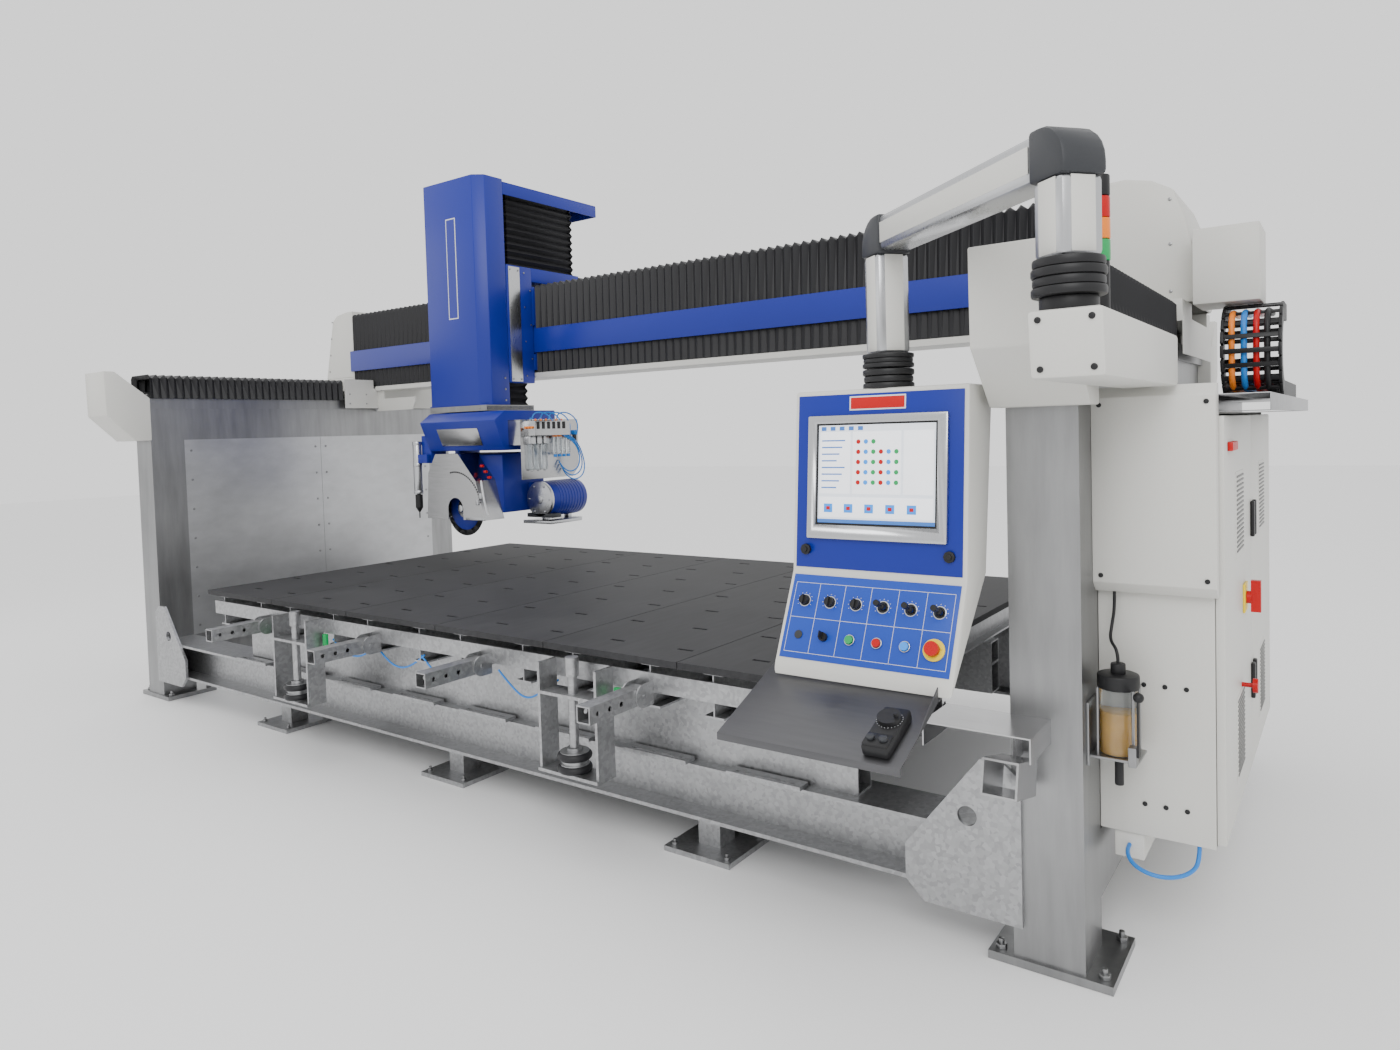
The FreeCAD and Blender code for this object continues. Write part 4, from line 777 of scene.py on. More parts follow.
@dataclass
class FrameHardware:
    """Nuts on base plates and feet, and the screws of the wall sheets."""

    column_x: float = 2762.5
    foot_rows: tuple[float, ...] = (-1457.5, 12.5, 1477.5)

    def nuts(self, size: float, spots: Sequence[Point]) -> list[bpy.types.Object]:
        """Hexagon nuts on studs.

        Args:
            size: Radius over the corners.
            spots: Where they stand, on the face of the plate.

        Returns:
            The nuts, each with the end of its stud.
        """
        nut = Bench.rod((0, 0, 0), size, size * 0.8, sides=6, round_=0.8)
        stud = Bench.rod((0, 0, size * 0.8), size * 0.5, size * 0.9, sides=12, round_=0.5)
        return Bench.repeat(Bench.join([nut, stud]), spots)

    def build(self) -> None:
        """Make the fasteners."""
        plates = [(side * self.column_x + dx, y + dy, 25) for side in (-1, 1) for y in (-770.0, 1260.0)
                  for dx in (-145, 145) for dy in (-115, 115)]
        feet = [(x + dx, y + dy, 20) for x in self.foot_rows for y in (-740.0, 1230.0)
                for dx in (-120, 120) for dy in (-110, 110)]
        Bench.dress(self.nuts(17, plates) + self.nuts(13, feet), "floor_nuts", STEEL, "frame")
        screws = Bench.repeat(Bench.rod((0, 0, 0), 8, 3, "x", 10, 0.8), [
            (x, y, 430 + row * 190) for x in (-2662.5, 2659.5) for y in (-670.0, 205.0, 285.0, 1160.0)
            for row in range(7)])
        Bench.dress(screws, "wall_screws", STEEL, "frame")
        marks = []
        for x in (-772.5, 1097.5):
            for z, radius in ((353, 50), (400, 50)):
                Bench.clear()
                bpy.ops.mesh.primitive_torus_add(location=(x * MM, -1.110, z * MM), major_radius=radius * MM,
                                                 minor_radius=0.016, major_segments=32, minor_segments=12)
                bpy.ops.object.shade_smooth()
                marks.append(bpy.context.object)
        Bench.dress(marks, "air_spring_bellows", BELLOWS, "frame")
        guides = [Bench.block((x + dx, -1072, 590), (x + dx + 26, -1054, 668), 3) for x in (-772.5, 1097.5)
                  for dx in (-196, 168)]
        Bench.dress(guides, "green_guides", GREEN, "frame")
        tubes = [Bench.to_mesh(Bench.hose([(x - 150, -1036, 640), (x - 90, -1036, 590),
                                           (x, -1030, 570 - 12 * n), (x + 110, -1036, 590),
                                           (x + 190, -1036, 645)], 4.0))
                 for n, x in enumerate((-420.0, -60.0, 260.0, 760.0))]
        Bench.dress(tubes, "air_tubes", HOSE_BLUE, "frame")


@dataclass
class Bridge:
    """Bridge bellows, end covers, blue strip and cable box."""

    left: float = -2903.5
    housing: float = 2562.5
    face: float = 712.0
    rear: float = 1135.0
    saddle_left: float = -1467.5
    saddle_right: float = -887.5

    def bellows(self) -> None:
        """Folded covers on both sides of the saddle."""
        line = [(self.face, 2016.0), (self.face, 2570.0), (self.face + 14, 2587.0), (self.rear, 2587.0)]
        for name, start, end, pair in (
                ("left", self.left + 1, self.saddle_left - 2, ("gantry", "carriage")),
                ("right", self.saddle_right + 2, self.housing - 1, ("carriage", "gantry"))):
            made = Bench.pleats(line, "x", start, end, 54.0, 14.0)
            Bench.stretch(made, name + "_bridge_bellows", BELLOWS, pair, (start * MM, 0, 0), (end * MM, 0, 0),
                          "bridge_bellows")

    def covers(self) -> None:
        """Sheet covers at both ends and the cable box."""
        left = Bench.outline([(self.left, 2100), (-3281.5, 2100), (-3167.5, 2553), (-3110, 2596),
                              (-2977.5, 2614), (self.left, 2614)], "y", 710, 430, 8.0)
        lip = Bench.block((-3327.5, 710, 2090), (self.left, 1140, 2100), 2)
        house = Bench.outline([(self.housing, 2060), (self.housing, 2582), (2700, 2590), (2800, 2568),
                               (2882.5, 2520), (2920, 2420), (2953.5, 2266), (2953.5, 2060)],
                              "y", 590, 560, 10.0)
        house = Bench.hollow(house, 4.0, [(-1, 0, 0), (0, 0, -1)])
        box = Bench.block((2967.5, 440, 2030), (3192.5, 700, 2320), 6)
        link = Bench.block((2953.5, 600, 2110), (2967.5, 700, 2250), 1)
        Bench.dress([left, lip, house, box, link], "bridge_end_covers", CREAM, "gantry", ["bridge_covers"])
        strip = Bench.block((self.left - 21, 694, 2144), (2600, 702, 2300), 1.0)
        clip = Bench.block((self.left - 21, 702, 2144), (self.left, 710, 2300), 1.0)
        Bench.dress([strip, clip], "bridge_blue_strip", BLUE, "gantry")
        screws = Bench.repeat(Bench.rod((0, 0, 0), 7, 3, "y", 12, 0.6), [
            (2870, 587, z) for z in (2110, 2300, 2480)] + [
            (-3230 + 20 * n, 707, 2160 + 130 * n) for n in range(4)])
        screws += Bench.repeat(Bench.rod((0, 0, 0), 6, 4, "x", 10, 0.5), [
            (x, y, z) for x in (-2630.5, 2626.5) for y in (480, 620) for z in (1880, 1950)])
        Bench.dress(screws, "gantry_screws", STEEL, "gantry")

    def build(self) -> None:
        """Make the bridge pieces."""
        self.bellows()
        self.covers()


@dataclass
class Tower:
    """Saddle, ram cover, roof and their bellows."""

    middle: float = -1157.5
    x0: float = -1427.5
    x1: float = -887.5

    def saddle(self) -> None:
        """Blue carriage with its hood and side strip."""
        left, right = -1467.5, self.x1
        body = Bench.block((left, 470, 1942), (right, 690, 2690), 6)
        back = Bench.block((left, 712, 2030), (right, 750, 2570), 2)
        webs = [Bench.block((left, 689, a), (right, 713, b), 1) for a, b in ((2030, 2134), (2320, 2570))]
        hood = Bench.block((left, 688, 2600), (right, 1135, 2690), 4)
        Bench.dress([body, back, hood] + webs, "saddle_body", BLUE, "carriage", ["saddle"])
        strip = Bench.block((right, 485, 1950), (right + 5, 580, 2680), 1.5)
        Bench.dress(strip, "saddle_strip", ALUMINIUM, "carriage")
        screws = Bench.repeat(Bench.rod((0, 0, 0), 6, 3, "x", 10, 0.5), [
            (right, 620 + 50 * (n % 2), 1990 + n * 110) for n in range(7)] + [
            (right + 5, y, z) for y in (498, 567) for z in (1965, 2660)])
        Bench.dress(screws, "saddle_screws", STEEL, "carriage")

    def cover(self) -> None:
        """Ram cover with its chamfered right edge, and the roof."""
        line = [(self.x0, 466), (self.x0, 284), (self.x0 + 18, 266), (self.x1 - 62, 266), (self.x1, 318),
                (self.x1, 466)]
        shell = Bench.outline(line, "z", 1800, 1420, 4.0)
        shell = Bench.hollow(shell, 4.0, [(0, 1, 0), (0, 0, -1)])
        hem = Bench.block((self.x0, 266, 1800), (self.x1, 270, 1806), 1)
        roof = Bench.block((self.x0, 466, 3193), (self.x1, 1335, 3205), 3)
        lips = [Bench.block((a, 466, 3126), (a + 4, 1335, 3196), 1) for a in (self.x0, self.x1 - 4)]
        end = Bench.block((self.x0 + 4, 1331, 3126), (self.x1 - 4, 1335, 3196), 1)
        Bench.dress([shell, hem, roof, end] + lips, "ram_blue_cover", BLUE, "ram", ["ram_cover"])
        foot = Bench.block((self.x0, 267, 1765), (self.x1, 670, 1799), 4)
        Bench.dress(foot, "ram_foot_skin", BLUE, "ram")
        screws = [Bench.rod((self.x1, 430, z), 7, 3, "x", 12, 0.6) for z in (1830, 1900, 1970)]
        screws += [Bench.rod((x, 263.5, 1782), 6, 3, "y", 12, 0.6)
                   for x in (self.x0 + 40, self.middle, self.x1 - 60)]
        Bench.dress(screws, "ram_screws", STEEL, "ram")
        mark = Bench.outline([(self.middle - 45, 2350), (self.middle + 45, 2350), (self.middle + 45, 2980),
                              (self.middle - 45, 2980)], "y", 264.8, 1.4, 0.0)
        inner = Bench.outline([(self.middle - 38, 2357), (self.middle + 38, 2357), (self.middle + 38, 2973),
                               (self.middle - 38, 2973)], "y", 263.8, 1.2, 0.0)
        Bench.dress(mark, "ram_plate_border", WHITE, "ram")
        Bench.dress(inner, "ram_plate", BLUE, "ram")

    def bellows(self) -> None:
        """Square bellows above and below the saddle."""
        for name, low, high, start, end, pair in (
                ("upper", (self.middle - 210, 514), (self.middle + 240, 1118), 2691, 3192,
                 ("carriage", "ram")),
                ("lower", (self.middle - 230, 490), (self.middle + 230, 660), 1801, 1941,
                 ("ram", "carriage"))):
            line = [(high[0] - 1, high[1]), (low[0], high[1]), (low[0], low[1]), (high[0], low[1]),
                    (high[0], high[1])]
            made = Bench.pleats(line[::-1], "z", start, end, 46.0, 24.0)
            Bench.stretch(made, name + "_ram_bellows", BELLOWS, pair, (0, 0, start * MM), (0, 0, end * MM),
                          "ram_bellows")

    def build(self) -> None:
        """Make the tower."""
        self.saddle()
        self.cover()
        self.bellows()


@dataclass
class Head:
    """Swivelling housing, service plate, tilting saw unit and blade."""

    middle: float = -1157.5
    left: float = -1437.5
    right: float = -727.5
    tilt: Pair = (590.0, 1180.0)
    motor_x: float = -757.5
    motor_z: float = 1195.0
    blade_z: float = 1150.0
    blade_radius: float = 175.0

    def housing(self) -> None:
        """Blue housing, fork arm, gearbox and probe cylinder."""
        body = Bench.outline([(266, 1760), (184, 1703), (260, 1517), (700, 1517), (700, 1760)], "x",
                             self.left, self.right - self.left, 7.0)
        table = Bench.rod((self.middle, 480, 1758), 150, 6.4, round_=0.8, sides=48)
        arm = Bench.block((self.left - 50, 500, 1180), (self.left, 680, 1640), 6)
        hub = Bench.rod((self.left - 50, *self.tilt), 90, 50, "x", 40, 3)
        bracket = Bench.block((-1535, 268, 1440), (self.left, 390, 1620), 4)
        lug = Bench.block((-1540, 234, 1442), (self.left - 4, 270, 1498), 3)
        Bench.dress([body, table, arm, hub, bracket, lug], "head_blue_housing", BLUE, "head",
                    ["head_housing"])
        gearbox = Bench.rod((self.left - 92, *self.tilt), 84, 42, "x", 40, 5)
        cap = Bench.rod((self.left - 95, *self.tilt), 40, 6, "x", 32, 2)
        barrel = Bench.rod((-1557.5, 250, 1240), 29, 345, round_=3, sides=36)
        collars = Bench.repeat(Bench.rod((-1557.5, 250, 1240), 31, 22, round_=2, sides=36), [
            (0, 0, rise) for rise in (0, 180, 320)])
        Bench.dress([gearbox, cap, barrel] + collars, "probe_cylinder", ALUMINIUM, "head")
        window = Bench.outline([(-1290, 1552), (-905, 1552), (-905, 1668), (-1290, 1668)], "y", 0, 3, 1.0)
        slope = Matrix.Translation(Vector((0, 260 - 4, 1517)) * MM) @ Matrix.Rotation(
            -math.atan2(76, 186) * -1, 4, "X") @ Matrix.Translation(Vector((0, 0, -1517)) * MM)
        Bench.dress(window, "head_window", STAINLESS, "head", place=slope)

    def service(self) -> None:
        """Service plate with manifold, filter bowls, flow meters and hoses."""
        side = self.right + 105
        sheet = Bench.outline([(290, 1335), (730, 1335), (790, 1395), (790, 1700), (290, 1700)], "x",
                              side, 4, 1.0)
        top = Bench.block((self.right, 290, 1694), (side, 690, 1700), 2)
        face = Bench.block((self.right, 290, 1545), (side, 295, 1700), 2)
        manifold = Bench.block((side + 4, 320, 1600), (side + 99, 620, 1690), 3)
        studs = Bench.repeat(Bench.rod((side + 30, 350, 1690), 8, 10, round_=1), [
            (22 * (n % 3), 45 * (n // 3), 0) for n in range(15)])
        Bench.dress([sheet, top, face, manifold] + studs, "service_plate", STAINLESS, "head", ["valve_pack"])
        out = side + 4
        trio, quartet = [(0, 55 * n, 0) for n in range(3)], [(0, 38 * n, 0) for n in range(4)]
        bowls = Bench.repeat(Bench.rod((out + 22, 350, 1392), 20, 158, round_=8, sides=32), trio)
        meters = Bench.repeat(Bench.rod((out + 70, 508, 1484), 14, 108, round_=3), quartet)
        Bench.dress(bowls + meters, "clear_bowls", CLEAR, "head")
        heads = Bench.repeat(Bench.block((out, 327, 1550), (out + 44, 373, 1598), 4), trio)
        heads += Bench.repeat(Bench.rod((out + 22, 350, 1384), 9, 10, round_=2), trio)
        Bench.dress(heads, "filter_heads", ALUMINIUM, "head")
        tips = Bench.repeat(Bench.rod((out + 70, 508, 1466), 12, 16, round_=2), quartet)
        tips += Bench.repeat(Bench.rod((out + 20, 680, 1600), 19, 30, round_=4), trio[:2])
        tips += Bench.repeat(Bench.rod((out + 40, 340, 1700), 7, 9, round_=2), [
            (30 * n, 50 * n, 0) for n in range(3)])
        Bench.dress(tips, "blue_fittings", HOSE_BLUE, "head")
        knobs = Bench.repeat(Bench.rod((out + 20, 680, 1560), 14, 42, round_=2), trio[:2])
        Bench.dress(knobs, "regulators", GREY, "head")
        six = [(0, 44 * n, 0) for n in range(6)]
        plugs = Bench.repeat(Bench.rod((out + 30, 300, 1650), 8, 18, "y", 16, 1.5), [
            (22 * n, 4 * n, 0) for n in range(3)])
        plugs += Bench.repeat(Bench.rod((out + 70, 508, 1590), 15, 14, round_=2), quartet)
        plugs += Bench.repeat(Bench.rod((out + 74, 345, 1690), 6, 12, round_=1.5), six)
        Bench.dress(plugs, "orange_fittings", ORANGE, "head")
        valves = Bench.repeat(Bench.block((out + 46, 333, 1640), (out + 98, 357, 1684), 2), six)
        Bench.dress(valves, "valve_blocks", BLACK, "head")
        loops = []
        for n in range(4):
            y = 360 + 70 * n
            loops.append(Bench.to_mesh(Bench.hose([
                (out + 30, y, 1690), (out + 32, y, 1725), (out + 36, y + 40, 1745), (out + 60, y + 90, 1735),
                (out + 88, y + 120, 1690), (out + 92, y + 125, 1640), (out + 84, y + 120, 1600)], 4.0)))
        for n in range(3):
            drop = 26 * n
            loops.append(Bench.to_mesh(Bench.hose([
                (out + 84, 560 + 24 * n, 1600), (out + 92, 640 + 20 * n, 1570),
                (out + 94, 700 + 22 * n, 1490 - drop),
                (out + 90, 700 + 20 * n, 1400 - drop), (out + 70, 640 + 18 * n, 1362 - drop),
                (out + 30, 600 + 16 * n, 1400 - drop), (out + 6, 600 + 16 * n, 1440 - drop)], 4.0)))
        Bench.dress(loops, "blue_hoses", HOSE_BLUE, "head")

    def saw_unit(self) -> None:
        """Belt casing, motor with its disc, drip tray, connectors and water pipe."""
        casing = Bench.outline([(380, 1120), (380, 1490), (590, 1500), (690, 1485), (740, 1455),
                                (740, 1120)], "x", -1437, 549.5, 10.0)
        link = Bench.block((-908, 600, 1120), (-757, 740, 1300), 6)
        motor = Bench.rod((self.motor_x, 585, self.motor_z), 113, 305, "y", 64, 6)
        ribs = Bench.repeat(Bench.rod((self.motor_x, 640, self.motor_z), 115, 8, "y", 64, 1.5), [
            (0, 26 * n, 0) for n in range(9)])
        Bench.dress([casing, link, motor] + ribs, "saw_blue_casing", BLUE, "saw_unit", ["saw_body"])
        shaft = Bench.rod((self.left - 49, *self.tilt), 35, 52, "x", 40, 1)
        disc = Bench.rod((self.motor_x, 560, self.motor_z), 112, 26, "y", 64, 3)
        boss = Bench.rod((self.motor_x, 556, self.motor_z), 30, 6, "y", 32, 1.5)
        bolts = [Bench.rod((self.motor_x + 92 * math.cos(a), 556, self.motor_z + 92 * math.sin(a)),
                           7, 6, "y", 12, 1) for a in (math.pi / 3 * k for k in range(6))]
        tray = Bench.outline([(-887.5, 540), (-637.5, 540), (-637.5, 820), (-690, 880), (-887.5, 880)],
                             "z", 1040, 20, 2.0)
        posts = [Bench.block((-777, y, 1058), (-737, y + 30, 1084), 1) for y in (600, 800)]
        Bench.dress([shaft, disc, boss, tray] + bolts + posts, "motor_disc", ALUMINIUM, "saw_unit")
        band = Bench.block((-872, 560, 1078), (-643, 640, 1104), 3)
        Bench.dress(band, "motor_band", GREY, "saw_unit")
        rail = Bench.block((-1060, 214, 1085), (-880, 220, 1100), 1.5)
        brackets = [Bench.block((-960 + 30 * n, 214, 1180 + 40 * n), (-935 + 30 * n, 221, 1215 + 40 * n), 1.5)
                    for n in range(2)]
        Bench.dress([rail] + brackets, "guard_trim", ALUMINIUM, "saw_unit")
        angles = [math.radians(100 - n * 4.2) for n in range(22)]
        groove = Bench.repeat(Bench.rod((self.middle + 5, 218.4, self.blade_z), 6.0, 1.5, "y", 12, 0.2), [
            (235 * math.cos(a), 0, 235 * math.sin(a)) for a in angles])
        Bench.dress(groove, "guard_groove", BLACK, "saw_unit")
        plugs = Bench.repeat(Bench.rod((-1000, 300, 1420), 9, 26, "x", 16, 2), [
            (32 * n, 0, -36 * n) for n in range(3)])
        Bench.dress(plugs, "red_connectors", RED, "saw_unit")
        pipe = Bench.to_mesh(Bench.hose([(-920, 230, 1330), (-900, 216, 1300), (-884, 212, 1240),
                                         (-872, 214, 1180), (-868, 230, 1120)], 6.0))
        Bench.dress(pipe, "water_pipe", WHITE, "saw_unit")

    def blade(self) -> None:
        """Diamond blade: slotted rim, coloured core, flange and nut."""
        rim = Bench.rod((self.middle, 297.6, self.blade_z), self.blade_radius, 4.8, "y", 96, 0.4)
        hub = Matrix.Translation(Vector((self.middle, 300, self.blade_z)) * MM)
        gaps = Bench.repeat(Bench.block((-1.5, -10, 150), (1.5, 10, 180), 0.2), [
            hub @ Matrix.Rotation(math.tau * n / 16, 4, "Y") for n in range(16)])
        Bench.cut(rim, [Bench.join(gaps)])
        Bench.dress(rim, "blade_rim", BLACK, "blade", ["saw_blade"])
        core = Bench.rod((self.middle, 297.0, self.blade_z), 138, 6.0, "y", 72, 0.5)
        Bench.dress(core, "blade_core", BLUE, "blade")
        flange = Bench.rod((self.middle, 286, self.blade_z), 60, 28, "y", 56, 3)
        nut = Bench.rod((self.middle, 256, self.blade_z), 26, 32, "y", 6, 2)
        spindle = Bench.rod((self.middle, 300, self.blade_z), 20, 150, "y", 32, 1)
        Bench.dress([flange, nut, spindle], "blade_hub", ALUMINIUM, "blade")

    def build(self) -> None:
        """Make the head."""
        self.housing()
        self.service()
        self.saw_unit()
        self.blade()


@dataclass
class Console:
    """Hanging console: case, panels, screen, tray and pendant."""

    left: float = 2073.0
    width: float = 550.0
    kink: Pair = (-1135.0, 1165.0)
    top: Pair = (-1087.0, 1710.0)
    low: Pair = (-1256.0, 910.0)
    tray_back: Pair = (-1215.0, 891.8)
    tray_front: Pair = (-1530.0, 766.0)

    def slope(self, low: Pair, high: Pair) -> Matrix:
        """Place of a sloping face: across, up the slope, outwards.

        Args:
            low: Lower edge, as y and z.
            high: Upper edge.

        Returns:
            The matrix that moves a flat piece onto the face.
        """
        length = math.hypot(high[0] - low[0], high[1] - low[1])
        vy, vz = (high[0] - low[0]) / length, (high[1] - low[1]) / length
        return Matrix(((1, 0, 0, self.left * MM), (0, vy, -vz, low[0] * MM), (0, vz, vy, low[1] * MM),
                       (0, 0, 0, 1)))

    def case(self) -> None:
        """Cream folded case with the rotary collar."""
        line = [self.top, self.kink, self.low, (-1268, 871), (-977, 1166), (-897, 1710)]
        case = Bench.outline(line, "x", self.left, self.width, 9.0)
        Bench.dress(case, "console_shell", CREAM, "console", ["console_case"])
        collar = [Bench.rod((2348, -1010, 1708 + 20 * n), 76 - 3 * (n % 2), 19, round_=5, sides=48)
                  for n in range(3)]
        Bench.dress(collar, "console_collar", BLACK, "console")

    def panels(self) -> None:
        """Blue plates, white outlines, caps and button rings."""
        upper = self.slope(self.kink, self.top)
        lower = self.slope(self.low, self.kink)
        Bench.dress(Bench.block((14, 12, 0), (536, 533, 2), 0.6), "screen_plate", PANEL_BLUE, "console",
                place=upper)
        Bench.dress(Bench.block((14, 14, 0), (536, 270, 2), 0.6), "button_plate", KEY_BLUE, "console",
                place=lower)
        lines = [Bench.block((26, a, 2), (524, a + 1.2, 2.4), 0.1) for a in (32, 137, 244)]
        lines += [Bench.block((a, 32, 2), (a + 1.2, 245, 2.4), 0.1)
                  for a in (26, 107, 191, 275, 359, 443, 523)]
        Bench.dress(lines, "panel_outlines", WHITE, "console", place=lower)
        angles = [math.radians(-30 + 30 * n) for n in range(9)]
        ticks = Bench.repeat(Bench.block((64, 189, 2), (66, 191, 2.4), 0.1), [
            (84 * c + 24 * math.cos(a), 24 * math.sin(a), 0) for c in range(6) for a in angles])
        Bench.dress(ticks, "dial_ticks", WHITE, "console", place=lower)
        rings = [Bench.cut(Bench.rod((65 + 84 * c, 85, 2), 16, 6, sides=36, round_=1),
                           [Bench.rod((65 + 84 * c, 85, 0), 12.6, 12, sides=36, round_=0)])
                 for c in (2, 3, 4)]
        rings += [Bench.cut(Bench.rod((65 + 84 * c, 190, 2), 19, 0.6, sides=36, round_=0.1),
                            [Bench.rod((65 + 84 * c, 190, 0), 8, 12, sides=32, round_=0)]) for c in range(6)]
        Bench.dress(Bench.rod((65, 85, 2), 13, 3, sides=36, round_=1), "blank_plug", GREY, "console",
                place=lower)
        Bench.dress(rings, "button_rings", ALUMINIUM, "console", place=lower)
        seats = [Bench.cut(Bench.rod((65 + 84 * c, 190, 2.2), 16.5, 0.9, sides=36, round_=0.2),
                           [Bench.rod((65 + 84 * c, 190, 0), 8, 12, sides=32, round_=0)]) for c in range(6)]
        Bench.dress(seats, "knob_seats", BLACK, "console", place=lower)
        collar = Bench.cut(Bench.rod((485, 85, 2), 31, 6.5, sides=48, round_=1.5),
                           [Bench.rod((485, 85, 0), 9.6, 12, sides=32, round_=0)])
        Bench.dress(collar, "estop_collar", YELLOW, "console", place=lower)
        caps = []
        for u in (50, 500):
            caps += [Bench.rod((u, 66, 2), 17, 12, sides=8, round_=2), Bench.rod((u, 66, 12), 9, 8, round_=2)]
        Bench.dress(caps, "socket_caps", BLACK, "console", place=upper)
        badge = Bench.block((190, 488, 2), (360, 522, 2.8), 0.2)
        Bench.dress(badge, "blank_badge", RED, "console", place=upper)
        frame_line = Bench.block((186, 484, 2), (364, 526, 2.4), 0.1)
        Bench.dress(frame_line, "badge_border", WHITE, "console", place=upper)

    def screen(self) -> None:
        """Monitor with a silver bezel and a plain control picture."""
        upper = self.slope(self.kink, self.top)
        bezel = Bench.block((55, 100, 2), (495, 470, 18), 5)
        Bench.cut(bezel, [Bench.block((84, 142, 12), (466, 446, 30), 0)])
        Bench.dress(bezel, "monitor_bezel", ALUMINIUM, "console", ["console_screen"], place=upper)
        Bench.dress(Bench.block((84.5, 142.5, 11), (465.5, 445.5, 12.4), 0.3), "screen_gasket", BLACK,
                "console",
                    place=upper)
        Bench.dress(Bench.block((91, 149, 12.3), (459, 440, 12.9), 0.1), "screen_picture", SCREEN, "console",
                    place=upper)
        panes = [Bench.block((96, 236, 12.8), (196, 420, 13.4), 0.1), Bench.block((204, 236, 12.8), (356,
                420, 13.4), 0.1),
                 Bench.block((364, 236, 12.8), (454, 420, 13.4), 0.1), Bench.block((96, 166, 12.8), (454,
                         226, 13.4), 0.1)]
        Bench.dress(panes, "screen_panes", SCREEN_PALE, "console", place=upper)
        bars = [Bench.block((91, 149, 12.8), (459, 160, 13.5), 0.1)]
        bars += [Bench.block((100 + 30 * n, 424, 12.8), (116 + 30 * n, 436, 13.5), 0.1) for n in range(5)]
        bars += [Bench.block((102, 252 + 20 * n, 13.2), (102 + 50 + 9 * (n % 4), 256 + 20 * n, 13.7), 0.1)
                 for n in range(8)]
        Bench.dress(bars, "screen_bars", SCREEN_BAR, "console", place=upper)
        for finish, start in ((RED, 0), (LAMP_BLUE, 1), (GREEN, 2)):
            dots = [Bench.rod((222 + 24 * ((start + 3 * n) % 6), 270 + 30 * ((start + 3 * n) // 6), 13.2),
                    7, 0.5,
                              sides=16, round_=0.1) for n in range(9)]
            if finish is LAMP_BLUE:
                dots += [Bench.block((112 + 66 * n, 180, 13.2), (140 + 66 * n, 206, 13.8),
                        0.1) for n in range(5)]
            if finish is RED:
                dots += [Bench.block((120 + 66 * n, 188, 13.6), (132 + 66 * n, 198, 14.2),
                        0.1) for n in range(5)]
            Bench.dress(dots, "screen_icons_" + finish.name, finish, "console", place=upper)

    def tray(self) -> None:
        """Sloping tray and the pendant on it."""
        lower = self.slope(self.tray_front, self.tray_back)
        sheet = Bench.outline([self.tray_back, self.tray_front, (-1530, 746), (-1527, 746), (-1527, 763.5),
                               (-1215, 888.8)], "x", self.left - 25, 540, 0.8)
        flange = Bench.outline([(-1275, 868), (-1275, 905), (-1420, 810)], "x", self.left + 512, 3, 0.5)
        Bench.dress([sheet, flange], "console_steel_tray", DARK_STEEL, "console", ["console_tray"])
        body = Bench.block((405, 20, 0.3), (480, 185, 36), 9)
        head = Bench.block((409, 24, 30), (476, 70, 40), 4)
        Bench.dress([body, head], "pendant_body", BLACK, "console", place=lower)
        angles = [math.tau * n / 24 for n in range(24)]
        ticks = Bench.repeat(Bench.block((441.2, 129.2, 36), (442.8, 130.8, 36.6), 0.1), [
            (34 * math.cos(a), 34 * math.sin(a), 0) for a in angles])
        Bench.dress(ticks, "pendant_ticks", WHITE, "console", place=lower)
        knobs = [Bench.rod((x, 46, 40), 11, 9, sides=20, round_=2) for x in (426, 460)]
        Bench.dress(knobs, "pendant_knobs", GREY, "console", place=lower)

    def build(self) -> None:
        """Make the console."""
        self.case()
        self.panels()
        self.screen()
        self.tray()


